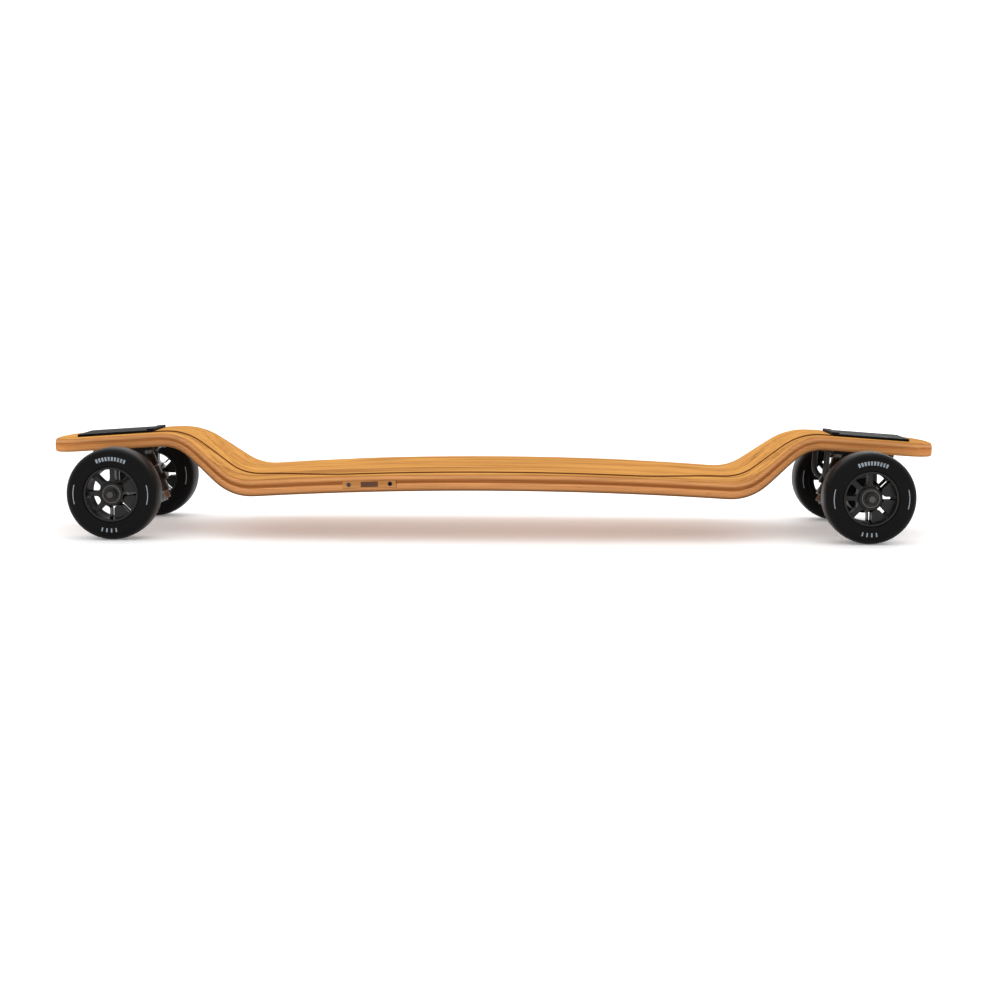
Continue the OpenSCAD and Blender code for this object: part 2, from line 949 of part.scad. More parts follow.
module front_hanger() {
    beam_half = 26;
    color("#211f1d")
        difference() {
            union() {
                truck_frame(FRONT)
                    hanger_core(beam_half);
                axle_frame(FRONT)
                    both_sides()
                        translate([0, 0, beam_half])
                            cylinder(h = hanger_end - beam_half, r1 = beam_r, r2 = beam_tip_r);
            }
            axle_frame(FRONT)
                cylinder(h = 2 * track_out, d = axle_d, center = true);
        }
}

module front_axle() {
    color("#9a9ca0")
        axle_frame(FRONT)
            cylinder(h = 2 * (hub_out + axle_nut_t + 2), d = axle_d, center = true);
}

axle_nut_t = 6.6;
axle_nut_af = 13;
ring_spacer_r = 6.2;
module front_axle_spacers() {
    color("#8f9195")
        axle_frame(FRONT)
            both_sides() {
                translate([0, 0, hanger_end])
                    tube(hub_in - hanger_end - free_gap, ring_spacer_r, axle_d / 2);
                translate([0, 0, hub_in + bearing_w + free_gap])
                    tube(hub_w - 2 * bearing_w - 2 * free_gap, ring_spacer_r, axle_d / 2);
            }
}

module front_axle_nuts() {
    color("#8f9195")
        axle_frame(FRONT)
            both_sides()
                translate([0, 0, hub_out + free_gap])
                    hex_nut(axle_nut_af, axle_nut_t, axle_d);
}

motor_in = 27;
motor_out = hanger_end - 1;
motor_bore = motor_d / 2 - motor_wall;
shaft_bearing_d = 22;
shaft_bearing_w = 6;
cap_t = 8;
inner_wall = 3;

module rear_hanger() {
    color("#211f1d")
        difference() {
            union() {
                truck_frame(REAR)
                    hanger_core(motor_in + 1);
                axle_frame(REAR)
                    both_sides()
                        translate([0, 0, motor_in])
                            cylinder(h = motor_out - motor_in, d = motor_d);
                lead_bosses();
            }
            axle_frame(REAR)
                both_sides() {
                    translate([0, 0, motor_in + inner_wall + shaft_bearing_w])
                        cylinder(h = motor_out, r = motor_bore);
                    translate([0, 0, motor_in + inner_wall])
                        cylinder(h = motor_out, d = shaft_bearing_d);
                }
        }
}

// Bosses where the leads enter the motor housings
module lead_bosses() {
    boss_z = -lead_fall - lead_bend;
    for (sy = [-1, 1])
        truck_frame(REAR)
            translate([axle_pt[0], sy * lead_y, boss_z])
                rotate([0, 90, 0])
                    cylinder(h = lead_in - run_gap - axle_pt[0], d = lead_d + 5);
}

module motor_end_caps() {
    color("#2a2826")
        axle_frame(REAR)
            both_sides()
                translate([0, 0, motor_out - cap_t])
                    difference() {
                        cylinder(h = cap_t, r = motor_bore);
                        translate([0, 0, cap_t - shaft_bearing_w])
                            cylinder(h = cap_t, d = shaft_bearing_d);
                        translate([0, 0, -1])
                            cylinder(h = cap_t + 2, d = shaft_d + 4);
                    }
}

stator_in = motor_in + inner_wall + shaft_bearing_w + 3;
stator_out = motor_out - cap_t - 1;
teeth = 12;
module motor_stators() {
    color("#9a5b2c")
        axle_frame(REAR)
            both_sides()
                translate([0, 0, stator_in])
                    difference() {
                        cylinder(h = stator_out - stator_in, r = motor_bore);
                        translate([0, 0, -1])
                            cylinder(h = stator_out - stator_in + 2, r = rotor_d / 2 + air_gap);
                        for (i = [0:teeth - 1])
                            rotate([0, 0, i * 360 / teeth])
                                translate([motor_bore - 4.5, 0, -1])
                                    cylinder(h = stator_out - stator_in + 2, d = 4);
                    }
}

module shaft_bearings() {
    color("#a9abae")
        axle_frame(REAR)
            both_sides()
                for (z = [motor_in + inner_wall, motor_out - shaft_bearing_w])
                    translate([0, 0, z])
                        tube(shaft_bearing_w, shaft_bearing_d / 2, shaft_d / 2 + run_gap);
}

// ---- Wheels ------------------------------------------------------------------------------------
// Z along the axle outwards, origin at the middle of the wheel
module wheel_frame(end, side) {
    axle_frame(end)
        mirror([0, 0, side == RIGHT ? 0 : 1])
            translate([0, 0, wheel_y])
                children();
}

crown = 0.8;
function shoulder_pts(side) = [
    for (i = [0:6])
        let (a = side > 0 ? 90 - 15 * i : -15 * i)
        [
            tyre_d / 2 - crown - shoulder_r + shoulder_r * cos(a),
            side * (tyre_w / 2 - shoulder_r) + shoulder_r * sin(a)
        ]
];
module tyre(end, side) {
    color("#171412")
        wheel_frame(end, side)
            rotate_extrude($fn = 96)
                polygon(concat(
                    [[core_d / 2, tyre_w / 2 - 1.5], [core_d / 2 + 2, tyre_w / 2]],
                    shoulder_pts(1),
                    [[tyre_d / 2, tyre_w / 6], [tyre_d / 2, -tyre_w / 6]],
                    shoulder_pts(-1),
                    [[core_d / 2 + 2, -tyre_w / 2], [core_d / 2, -tyre_w / 2 + 1.5]]
                ));
}

hub_r = bearing_d / 2 + 4.5;
rim_t = 2.4;
web_front = tyre_w / 2 - 10;
web_back = web_front - 16;
module wheel_core(end, side) {
    rim_r = core_d / 2 - rim_t;
    color("#1b1917")
        wheel_frame(end, side)
            difference() {
                rotate_extrude($fn = 96)
                    polygon([
                        [bearing_d / 2 - 2, -hub_w / 2 + bearing_w], [bearing_d / 2, -hub_w / 2 + bearing_w],
                        [bearing_d / 2, -hub_w / 2], [hub_r, -hub_w / 2], [hub_r, web_back],
                        [rim_r, web_back], [rim_r, -tyre_w / 2 + 2], [core_d / 2, -tyre_w / 2 + 2],
                        [core_d / 2, tyre_w / 2 - 2], [rim_r, tyre_w / 2 - 2], [rim_r, web_front],
                        [hub_r, web_front], [hub_r, hub_w / 2], [bearing_d / 2, hub_w / 2],
                        [bearing_d / 2, hub_w / 2 - bearing_w], [bearing_d / 2 - 2, hub_w / 2 - bearing_w]
                    ]);
                difference() {
                    translate([0, 0, web_back - 1])
                        tube(web_front - web_back + 2, rim_r - 0.01, hub_r + 0.8);
                    for (i = [0:spokes - 1])
                        rotate([0, 0, i * 360 / spokes])
                            translate([0, -spoke_w / 2, web_back - 2])
                                cube([core_d, spoke_w, web_front - web_back + 4]);
                }
            }
}

module wheel_bearings(side) {
    color("#a9abae")
        wheel_frame(FRONT, side)
            both_sides()
                translate([0, 0, hub_w / 2 - bearing_w])
                    tube(bearing_w, bearing_d / 2, axle_d / 2 + run_gap);
}

module hub_adaptors(side) {
    color("#3b3d40")
        wheel_frame(REAR, side)
            both_sides()
                translate([0, 0, hub_w / 2 - bearing_w])
                    tube(bearing_w, bearing_d / 2, shaft_d / 2);
}

collar_r = shaft_d / 2 + 2;
module drive_shaft(side) {
    start = motor_in + inner_wall + 0.5;
    color("#9a9ca0")
        axle_frame(REAR)
            mirror([0, 0, side == RIGHT ? 0 : 1]) {
                translate([0, 0, start])
                    cylinder(h = hub_out - start, d = shaft_d);
                translate([0, 0, motor_out + free_gap])
                    cylinder(h = hub_in - motor_out - free_gap, r = collar_r);
                translate([0, 0, hub_out])
                    cylinder(h = axle_nut_t + 2, d = axle_d);
            }
}

module rotor(side) {
    color("#6f7377")
        axle_frame(REAR)
            mirror([0, 0, side == RIGHT ? 0 : 1])
                translate([0, 0, stator_in + 1])
                    tube(stator_out - stator_in - 2, rotor_d / 2, shaft_d / 2);
}

module rear_axle_nut(side) {
    color("#8f9195")
        wheel_frame(REAR, side)
            translate([0, 0, hub_w / 2])
                hex_nut(axle_nut_af, axle_nut_t, axle_d);
}

deck_bottom_ply();
deck_core_ply();
deck_top_ply();
battery_lid();
lid_screws();
battery_cells();
cell_links();
battery_bms();
motor_controller();
radio_receiver();
wiring_harness();
side_panel();
battery_gauge();
charge_socket();
power_button();
cover_plate(FRONT);  // front_cover_plate
cover_plate(REAR);  // rear_cover_plate
truck_bolts();
truck_nuts();
baseplate(FRONT);  // front_baseplate
baseplate(REAR);  // rear_baseplate
pivot_cup(FRONT);  // front_pivot_cup
pivot_cup(REAR);  // rear_pivot_cup
kingpin(FRONT);  // front_kingpin
kingpin(REAR);  // rear_kingpin
kingpin_nut(FRONT);  // front_kingpin_nut
kingpin_nut(REAR);  // rear_kingpin_nut
kingpin_washers(FRONT);  // front_kingpin_washers
kingpin_washers(REAR);  // rear_kingpin_washers
bushings(FRONT);  // front_bushings
bushings(REAR);  // rear_bushings
lead_grommets();
motor_leads();
front_hanger();
front_axle();
front_axle_spacers();
front_axle_nuts();
rear_hanger();
motor_end_caps();
motor_stators();
shaft_bearings();
tyre(FRONT, LEFT);  // front_left_tyre
tyre(FRONT, RIGHT);  // front_right_tyre
tyre(REAR, LEFT);  // rear_left_tyre
tyre(REAR, RIGHT);  // rear_right_tyre
wheel_core(FRONT, LEFT);  // front_left_core
wheel_core(FRONT, RIGHT);  // front_right_core
wheel_core(REAR, LEFT);  // rear_left_core
wheel_core(REAR, RIGHT);  // rear_right_core
wheel_bearings(LEFT);  // front_left_bearings
wheel_bearings(RIGHT);  // front_right_bearings
drive_shaft(LEFT);  // rear_left_drive_shaft
drive_shaft(RIGHT);  // rear_right_drive_shaft
rotor(LEFT);  // rear_left_rotor
rotor(RIGHT);  // rear_right_rotor
hub_adaptors(LEFT);  // rear_left_hub_adaptors
hub_adaptors(RIGHT);  // rear_right_hub_adaptors
rear_axle_nut(LEFT);  // rear_left_axle_nut
rear_axle_nut(RIGHT);  // rear_right_axle_nut
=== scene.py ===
import math

import bmesh
import bpy
import numpy as np
from mathutils import Matrix, Vector
from mathutils.bvhtree import BVHTree


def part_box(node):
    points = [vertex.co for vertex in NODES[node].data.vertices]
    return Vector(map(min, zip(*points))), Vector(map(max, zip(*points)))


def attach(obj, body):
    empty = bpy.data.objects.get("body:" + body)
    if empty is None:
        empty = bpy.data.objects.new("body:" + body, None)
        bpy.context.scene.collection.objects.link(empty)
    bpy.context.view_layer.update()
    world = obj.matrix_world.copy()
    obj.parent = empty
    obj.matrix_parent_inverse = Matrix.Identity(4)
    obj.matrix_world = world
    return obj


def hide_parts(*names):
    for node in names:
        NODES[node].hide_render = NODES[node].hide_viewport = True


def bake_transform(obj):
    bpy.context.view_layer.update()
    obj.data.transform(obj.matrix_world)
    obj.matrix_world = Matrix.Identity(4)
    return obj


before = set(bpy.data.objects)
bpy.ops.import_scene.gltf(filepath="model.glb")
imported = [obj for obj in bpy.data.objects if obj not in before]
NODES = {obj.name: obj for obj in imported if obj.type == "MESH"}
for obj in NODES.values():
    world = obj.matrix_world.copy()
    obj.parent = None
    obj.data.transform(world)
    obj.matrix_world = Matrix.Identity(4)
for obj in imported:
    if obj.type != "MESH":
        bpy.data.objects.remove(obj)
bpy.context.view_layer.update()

MM = 0.001
ENDS = {"front": -1, "rear": 1}
SIDES = {"left": -1, "right": 1}


# ---- Camera ------------------------------------------------------------------------------------
def add_camera():
    place = Vector((0.0442, -2.2738, 0.2755))
    pitch, yaw, roll = math.radians(-6.04), math.radians(0.878), math.radians(0.261)
    data = bpy.data.cameras.new("camera")
    data.lens = 66.96
    data.sensor_width = 36
    cam = bpy.data.objects.new("camera", data)
    turn = Matrix.Rotation(yaw, 4, "Z") @ Matrix.Rotation(math.pi / 2 + pitch, 4, "X")
    cam.matrix_world = Matrix.Translation(place) @ turn @ Matrix.Rotation(roll, 4, "Z")
    bpy.context.collection.objects.link(cam)
    bpy.context.scene.camera = cam


# ---- Materials ---------------------------------------------------------------------------------
class Paint:
    """A node material: each method adds one node and returns its output socket."""

    def __init__(self, name, rough=0.5, metal=0.0, spec=0.5, coat=0.0, coat_rough=0.1):
        self.mat = bpy.data.materials.new(name)
        self.mat.use_nodes = True
        self.tree = self.mat.node_tree
        self.tree.nodes.clear()
        self.shader = self.tree.nodes.new("ShaderNodeBsdfPrincipled")
        out = self.tree.nodes.new("ShaderNodeOutputMaterial")
        self.tree.links.new(self.shader.outputs["BSDF"], out.inputs["Surface"])
        for socket, value in (
            ("Roughness", rough), ("Metallic", metal), ("Specular IOR Level", spec),
            ("Coat Weight", coat), ("Coat Roughness", coat_rough),
        ):
            self.shader.inputs[socket].default_value = value
        self.coord = self.tree.nodes.new("ShaderNodeTexCoord").outputs["Object"]

    def node(self, kind, links=(), **values):
        n = self.tree.nodes.new(kind)
        for key, value in values.items():
            setattr(n, key, value)
        for socket, value in links:
            if isinstance(value, bpy.types.NodeSocket):
                self.tree.links.new(value, n.inputs[socket])
            else:
                n.inputs[socket].default_value = value
        return n

    def stretch(self, scale, turn=(0, 0, 0)):
        n = self.node("ShaderNodeMapping", [("Vector", self.coord), ("Scale", scale), ("Rotation", turn)])
        return n.outputs[0]

    def noise(self, vector, scale, detail=3.0, rough=0.5, distort=0.0):
        return self.node("ShaderNodeTexNoise", [
            ("Vector", vector), ("Scale", scale), ("Detail", detail),
            ("Roughness", rough), ("Distortion", distort),
        ]).outputs["Fac"]

    def grey(self, value):
        return self.node("ShaderNodeCombineXYZ", [(0, value), (1, value), (2, value)]).outputs[0]

    def attribute(self, name):
        return self.node("ShaderNodeAttribute", attribute_name=name).outputs["Fac"]

    def ramp(self, fac, stops):
        n = self.node("ShaderNodeValToRGB", [("Fac", fac)])
        ramp = n.color_ramp
        while len(ramp.elements) < len(stops):
            ramp.elements.new(0.5)
        for element, (at, colour) in zip(ramp.elements, stops):
            element.position = at
            element.color = (*colour, 1) if len(colour) == 3 else colour
        return n.outputs["Color"]

    def math(self, op, a, b=0.0):
        return self.node("ShaderNodeMath", [(0, a), (1, b)], operation=op).outputs[0]

    def span(self, value, low, high, to_low=0.0, to_high=1.0):
        return self.node("ShaderNodeMapRange", [
            ("Value", value), ("From Min", low), ("From Max", high), ("To Min", to_low), ("To Max", to_high),
        ]).outputs[0]

    def mix(self, fac, a, b, blend="MIX"):
        n = self.node("ShaderNodeMix", data_type="RGBA", blend_type=blend)
        for index, value in ((0, fac), (6, a), (7, b)):
            if isinstance(value, bpy.types.NodeSocket):
                self.tree.links.new(value, n.inputs[index])
            else:
                n.inputs[index].default_value = value if index == 0 else (*value, 1)
        return n.outputs[2]

    def put(self, socket, value):
        self.tree.links.new(value, self.shader.inputs[socket])
        return self

    def bump(self, height, strength, distance=0.001):
        n = self.node("ShaderNodeBump", [("Height", height), ("Strength", strength), ("Distance", distance)])
        self.tree.links.new(n.outputs[0], self.shader.inputs["Normal"])
        return self


def srgb(*rgb):
    return tuple(c / 255 / 12.92 if c <= 10 else ((c / 255 + 0.055) / 1.055) ** 2.4 for c in rgb)


def shade(colour, k):
    return tuple(c * k for c in colour)


def wood(name, light, mid, dark, veneers_and_shade=None, rough=0.42, tip=None):
    """Oiled wood with its grain along X: broad figure, fine streaks and open pores. On the sides,
    which the piece marks as "edge", colour bands run across the piece's "layer": the plies' veneer bands,
    and on the lid a dark painted shade that stands for the shadow in the gap round it. They fade into the tip
    colour towards the board's two ends."""
    p = Paint(name, rough=rough, spec=0.0, coat=0.05, coat_rough=0.35)
    broad = p.noise(p.stretch((1.3, 14, 14)), 2.2, 4, 0.55, 0.8)
    streak = p.noise(p.stretch((3, 90, 90)), 3.0, 5, 0.62, 0.25)
    pores = p.noise(p.stretch((26, 900, 900)), 2.0, 2, 0.5)
    tone = p.math("ADD", p.math("MULTIPLY", broad, 0.6), p.math("MULTIPLY", streak, 0.42))
    colour = p.ramp(tone, [(0.38, dark), (0.50, mid), (0.63, light)])
    if veneers_and_shade:
        # Edge bands: veneer bands on the plies, dark painted shade for the seam's gap on the lid.
        bands = p.ramp(p.attribute("layer"), veneers_and_shade)
        if tip:
            along = p.math("ABSOLUTE", p.node("ShaderNodeSeparateXYZ", [(0, p.coord)]).outputs[0])
            bands = p.mix(p.span(along, 0.32, 0.46, 0, 0.7), bands, tip)
        grain = p.span(p.noise(p.stretch((4, 60, 420)), 3.0, 4, 0.6), 0.3, 0.7, 0.72, 1.16)
        bands = p.mix(1.0, bands, p.grey(grain), "MULTIPLY")
        colour = p.mix(p.span(p.attribute("edge"), 0.25, 0.6), colour, bands)
    pore_mask = p.span(pores, 0.60, 0.74)
    colour = p.mix(p.math("MULTIPLY", pore_mask, 0.3), colour, shade(dark, 0.55))
    p.put("Base Color", colour)
    p.put("Roughness", p.span(streak, 0.3, 0.7, rough - 0.07, rough + 0.09))
    p.bump(p.math("SUBTRACT", streak, p.math("MULTIPLY", pore_mask, 0.8)), 0.16, 0.0004)
    return p.mat


def moulded(name, colour, rough=0.45, grain=900, wear=0.35, bump=0.12, coat=0.0, spec=0.5):
    """Moulded plastic, rubber or urethane: fine texture, soft mottling and scuffs."""
    p = Paint(name, rough=rough, coat=coat, spec=spec)
    fine = p.noise(p.coord, grain, 3, 0.6)
    cloud = p.noise(p.coord, 26, 4, 0.55)
    scuff = p.noise(p.stretch((1, 3, 0.8)), 120, 5, 0.7, 1.2)
    base = p.mix(p.span(cloud, 0.35, 0.68), shade(colour, 0.82), shade(colour, 1.22))
    base = p.mix(p.span(scuff, 0.62, 0.78, 0, wear), base, shade(colour, 2.0))
    p.put("Base Color", base)
    p.put("Roughness", p.span(cloud, 0.3, 0.7, rough - 0.08, rough + 0.10))
    p.bump(p.math("ADD", fine, p.math("MULTIPLY", scuff, 0.3)), bump, 0.0003)
    return p.mat


def metal(name, colour, rough=0.35, brushed=(1, 1, 1), metallic=1.0, bump=0.08, spec=0.5, fleck=0.15):
    """Plated, brushed or powder-coated metal with streaks and small handling marks."""
    p = Paint(name, rough=rough, metal=metallic, spec=spec)
    lines = p.noise(p.stretch(brushed), 420, 3, 0.6)
    cloud = p.noise(p.coord, 40, 4, 0.6)
    marks = p.noise(p.coord, 260, 6, 0.75, 0.8)
    base = p.mix(p.span(cloud, 0.3, 0.7), shade(colour, 0.85), shade(colour, 1.15))
    base = p.mix(p.span(marks, 0.64, 0.8, 0, fleck), base, shade(colour, 1.9))
    p.put("Base Color", base)
    p.put("Roughness", p.span(lines, 0.25, 0.75, rough - 0.07, rough + 0.12))
    p.bump(lines, bump, 0.0002)
    return p.mat


def ring_bands(p, radius, centre, half):
    """1 within half of the radius centre, both in metres."""
    return p.math("LESS_THAN", p.math("ABSOLUTE", p.math("SUBTRACT", radius, centre)), half)


def arc_window(p, angle, centre, half):
    """1 where the angle, in degrees, lies within half of centre."""
    apart = p.math("ABSOLUTE", p.math("SUBTRACT", angle, centre))
    return p.math("LESS_THAN", p.math("MINIMUM", apart, p.math("SUBTRACT", 360.0, apart)), half)


def dashes(p, angle, pitch, filled):
    """1 over the filled share of each pitch, in degrees, round the wheel."""
    beat = p.math("FRACT", p.math("MULTIPLY", p.math("ADD", angle, 720.0), 1 / pitch))
    return p.math("LESS_THAN", beat, filled)


def tyre_material(outer, half_width):
    """Cast urethane with a dusty tread and pale printed dashes on the side faces."""
    rough = 0.42
    base = srgb(10, 9, 9)
    p = Paint("tyre_urethane", rough=rough, spec=0.08)
    axes = p.node("ShaderNodeSeparateXYZ", [(0, p.coord)]).outputs
    squares = [p.math("MULTIPLY", axes[i], axes[i]) for i in (0, 2)]
    radius = p.math("SQRT", p.math("ADD", *squares))
    angle = p.math("MULTIPLY", p.math("ARCTAN2", axes[2], axes[0]), 180 / math.pi)
    cloud = p.noise(p.coord, 30, 4, 0.6)
    fine = p.noise(p.coord, 1100, 3, 0.6)
    dust = p.noise(p.coord, 90, 6, 0.72, 0.5)
    colour = p.mix(p.span(cloud, 0.35, 0.7), shade(base, 0.72), shade(base, 1.25))
    tread = p.span(radius, outer - 4 * MM, outer - 0.6 * MM)
    dusty = p.math("MULTIPLY", tread, p.span(dust, 0.42, 0.68, 0.02, 0.2))
    colour = p.mix(dusty, colour, srgb(48, 47, 46))
    print_r = 0.775 * outer
    thin = ring_bands(p, radius, print_r + 1.8 * MM, 0.5 * MM)
    block = ring_bands(p, radius, print_r, 2.3 * MM)
    sides = p.math("MAXIMUM", arc_window(p, angle, 0.0, 15.0), arc_window(p, angle, 180.0, 15.0))
    top = p.math("MULTIPLY", arc_window(p, angle, 90.0, 25.0), dashes(p, angle, 5.0, 0.62))
    foot = p.math("MULTIPLY", arc_window(p, angle, -90.0, 15.0), dashes(p, angle, 7.5, 0.3))
    blocks = p.math("MULTIPLY", block, p.math("MAXIMUM", top, foot))
    ink = p.math("ADD", p.math("MULTIPLY", thin, sides), blocks)
    side_face = p.math("GREATER_THAN", p.math("ABSOLUTE", axes[1]), half_width - 4 * MM)
    ink = p.math("MULTIPLY", p.math("MULTIPLY", ink, side_face), p.span(dust, 0.25, 0.5, 0.35, 0.8))
    p.put("Base Color", p.mix(ink, colour, srgb(150, 158, 166)))
    p.put("Roughness", p.span(cloud, 0.3, 0.7, rough - 0.08, rough + 0.12))
    p.bump(p.math("ADD", fine, p.math("MULTIPLY", dust, 0.5)), 0.10, 0.0003)
    return p.mat


def make_materials():
    steel = srgb(150, 152, 156)
    return {
        "ply_top": wood("ply_top", srgb(222, 162, 86), srgb(203, 144, 72), srgb(158, 103, 48), [
            (0, srgb(134, 80, 40)), (0.14, srgb(180, 122, 74)), (0.5, srgb(206, 146, 94)),
            (0.8, srgb(190, 130, 78)), (1, srgb(150, 92, 46)),
        ]),
        # The lid's sides are painted dark brown: painted shade that stands for the shadow in the gap round
        # the lid.
        "lid_wood": wood("lid_wood", srgb(220, 160, 82), srgb(201, 141, 68), srgb(154, 99, 44), [
            (0, srgb(96, 56, 30)), (1, srgb(104, 62, 32)),
        ]),
        "ply_core": wood("ply_core", srgb(160, 94, 54), srgb(134, 74, 42), srgb(104, 54, 30), [
            (0, srgb(192, 132, 82)), (0.48, srgb(202, 140, 88)), (0.6, srgb(142, 84, 42)),
            (0.9, srgb(140, 84, 42)), (1, srgb(168, 108, 60)),
        ], tip=srgb(196, 128, 70)),
        # The bottom ply's edge is darker towards its lower face.
        "ply_bottom": wood("ply_bottom", srgb(200, 142, 86), srgb(178, 120, 68), srgb(140, 88, 46), [
            (0, srgb(84, 56, 34)), (0.3, srgb(118, 80, 48)), (0.6, srgb(168, 116, 72)),
            (1, srgb(196, 136, 86)),
        ], tip=srgb(206, 142, 84)),
        "panel_wood": wood("panel_wood", srgb(196, 142, 88), srgb(182, 128, 76), srgb(156, 104, 58)),
        "tyre_urethane": tyre_material(half_height("front_left_tyre"), half_width("front_left_tyre")),
        "core_nylon": moulded(
            "core_nylon", srgb(16, 15, 15), rough=0.36, grain=700, wear=0.12, bump=0.08, spec=0.28),
        "cover_black": metal("cover_black", srgb(17, 16, 15), rough=0.5, metallic=0.0, bump=0.16, spec=0.02),
        "truck_black": metal("truck_black", srgb(15, 14, 14), rough=0.42, metallic=0.0, bump=0.2, spec=0.3),
        "dark_steel": metal("dark_steel", srgb(44, 43, 42), rough=0.35),
        "zinc_steel": metal("zinc_steel", steel, rough=0.32),
        "bearing_steel": metal("bearing_steel", srgb(84, 80, 78), rough=0.26),
        "shaft_steel": metal("shaft_steel", srgb(74, 71, 69), rough=0.3, brushed=(1, 8, 1)),
        "magnet_steel": metal("magnet_steel", srgb(120, 122, 126), rough=0.3),
        "adaptor_alloy": metal("adaptor_alloy", srgb(66, 66, 69), rough=0.4),
        "controller_alloy": metal("controller_alloy", srgb(62, 63, 67), rough=0.42, brushed=(6, 1, 1)),
        "nickel": metal("nickel", srgb(190, 188, 182), rough=0.25),
        "copper": metal("copper", srgb(176, 104, 60), rough=0.34, brushed=(1, 12, 1)),
        "bushing_urethane": moulded("bushing_urethane", srgb(36, 32, 30), rough=0.4, wear=0.15),
        "cup_urethane": moulded("cup_urethane", srgb(46, 44, 42), rough=0.6),
        "wire_black": moulded("wire_black", srgb(26, 26, 27), rough=0.5),
        "cell_wrap": moulded("cell_wrap", srgb(96, 110, 126), rough=0.3, wear=0.1, coat=0.3),
        "circuit_green": moulded("circuit_green", srgb(30, 108, 72), rough=0.35, wear=0.3, coat=0.2),
        "receiver_blue": moulded("receiver_blue", srgb(40, 84, 140), rough=0.4),
        "gauge_glass": moulded(
            "gauge_glass", srgb(78, 46, 28), rough=0.3, bump=0.01, wear=0.05, coat=0.1, spec=0.2),
        "socket_black": moulded("socket_black", srgb(24, 24, 25), rough=0.4),
        "button_black": moulded("button_black", srgb(22, 22, 23), rough=0.36),
    }


# ---- Mesh helpers ------------------------------------------------------------------------------
def half_height(node):
    low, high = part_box(node)
    return (high.z - low.z) / 2


def half_width(node):
    low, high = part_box(node)
    return (high.y - low.y) / 2


def centre_of(node):
    low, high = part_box(node)
    return (low + high) / 2


def soft_edges(mesh, angle=32):
    for f in mesh.polygons:
        f.use_smooth = True
    mesh.set_sharp_from_angle(angle=math.radians(angle))


def new_object(name, verts, faces, at=(0, 0, 0), angle=32, weld=1e-7, marks=None):
    mesh = bpy.data.meshes.new(name)
    mesh.from_pydata([tuple(v) for v in verts], [], [tuple(f) for f in faces])
    for mark, values in (marks or {}).items():
        mesh.attributes.new(mark, "FLOAT", "POINT").data.foreach_set("value", np.asarray(values, "f"))
    bm = bmesh.new()
    bm.from_mesh(mesh)
    bmesh.ops.remove_doubles(bm, verts=bm.verts, dist=weld)
    bmesh.ops.dissolve_degenerate(bm, edges=bm.edges, dist=weld)
    bmesh.ops.recalc_face_normals(bm, faces=bm.faces)
    bm.to_mesh(mesh)
    bm.free()
    soft_edges(mesh, angle)
    obj = bpy.data.objects.new(name, mesh)
    obj.location = at
    bpy.context.collection.objects.link(obj)
    return obj


def dress(obj, material, body, *nodes):
    """Gives a finished piece its material, its body, if any, and the CAD nodes that it stands for."""
    obj.data.materials.clear()
    obj.data.materials.append(PAINTS[material])
    if body:
        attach(obj, body)
    if nodes:
        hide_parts(*nodes)
    return obj


def lathe(name, profile, at, segments=128, angle=32):
    """Turns a closed profile of (radius, y) points about the Y axis through at."""
    n, m = len(profile), segments
    verts, faces = [], []
    for j in range(m):
        a = 2 * math.pi * j / m
        verts += [(r * math.cos(a), y, r * math.sin(a)) for r, y in profile]
    for j in range(m):
        for i in range(n):
            a, b = j * n + i, j * n + (i + 1) % n
            c, d = ((j + 1) % m) * n + (i + 1) % n, ((j + 1) % m) * n + i
            faces.append((a, b, c, d))
    return new_object(name, verts, faces, at, angle)


def arc(cx, cy, r, start, end, steps):
    """Points on an arc, with its angles in degrees."""
    out = []
    for i in range(steps + 1):
        a = math.radians(start + (end - start) * i / steps)
        out.append((cx + r * math.cos(a), cy + r * math.sin(a)))
    return out


def detail(node, material, body, bevel=0.4, angle=32, segments=2):
    """A piece copied from a CAD node, welded, with its sharp edges broken by bevel millimetres."""
    mesh = NODES[node].data.copy()
    if "custom_normal" in mesh.attributes:
        mesh.attributes.remove(mesh.attributes["custom_normal"])
    bm = bmesh.new()
    bm.from_mesh(mesh)
    bmesh.ops.remove_doubles(bm, verts=bm.verts, dist=1e-6)
    bmesh.ops.dissolve_limit(bm, angle_limit=math.radians(0.4), verts=bm.verts, edges=bm.edges)
    bm.to_mesh(mesh)
    bm.free()
    soft_edges(mesh, angle)
    obj = bpy.data.objects.new(node + "_piece", mesh)
    bpy.context.collection.objects.link(obj)
    if bevel:
        mod = obj.modifiers.new("edges", "BEVEL")
        mod.width = bevel * MM
        mod.segments = segments
        mod.limit_method = "ANGLE"
        mod.angle_limit = math.radians(angle)
        mod.harden_normals = False
    return dress(obj, material, body, node)


def cast(node, material, body, voxel=1.1, smooth=4):
    """A piece copied from a CAD node and remeshed, so that its joins flow together like a casting."""
    mesh = NODES[node].data.copy()
    bm = bmesh.new()
    bm.from_mesh(mesh)
    bmesh.ops.remove_doubles(bm, verts=bm.verts, dist=1e-6)
    bm.to_mesh(mesh)
    bm.free()
    obj = bpy.data.objects.new(node + "_piece", mesh)
    bpy.context.collection.objects.link(obj)
    mod = obj.modifiers.new("voxels", "REMESH")
    mod.mode = "VOXEL"
    mod.voxel_size = voxel * MM
    mod.use_smooth_shade = True
    mod = obj.modifiers.new("flow", "SMOOTH")
    mod.factor = 0.5
    mod.iterations = smooth
    apply_modifiers(obj)
    soft_edges(obj.data, 50)
    return dress(obj, material, body, node)


def apply_modifiers(obj):
    bpy.context.view_layer.update()
    evaluated = obj.evaluated_get(bpy.context.evaluated_depsgraph_get())
    mesh = bpy.data.meshes.new_from_object(evaluated)
    obj.modifiers.clear()
    obj.data = mesh


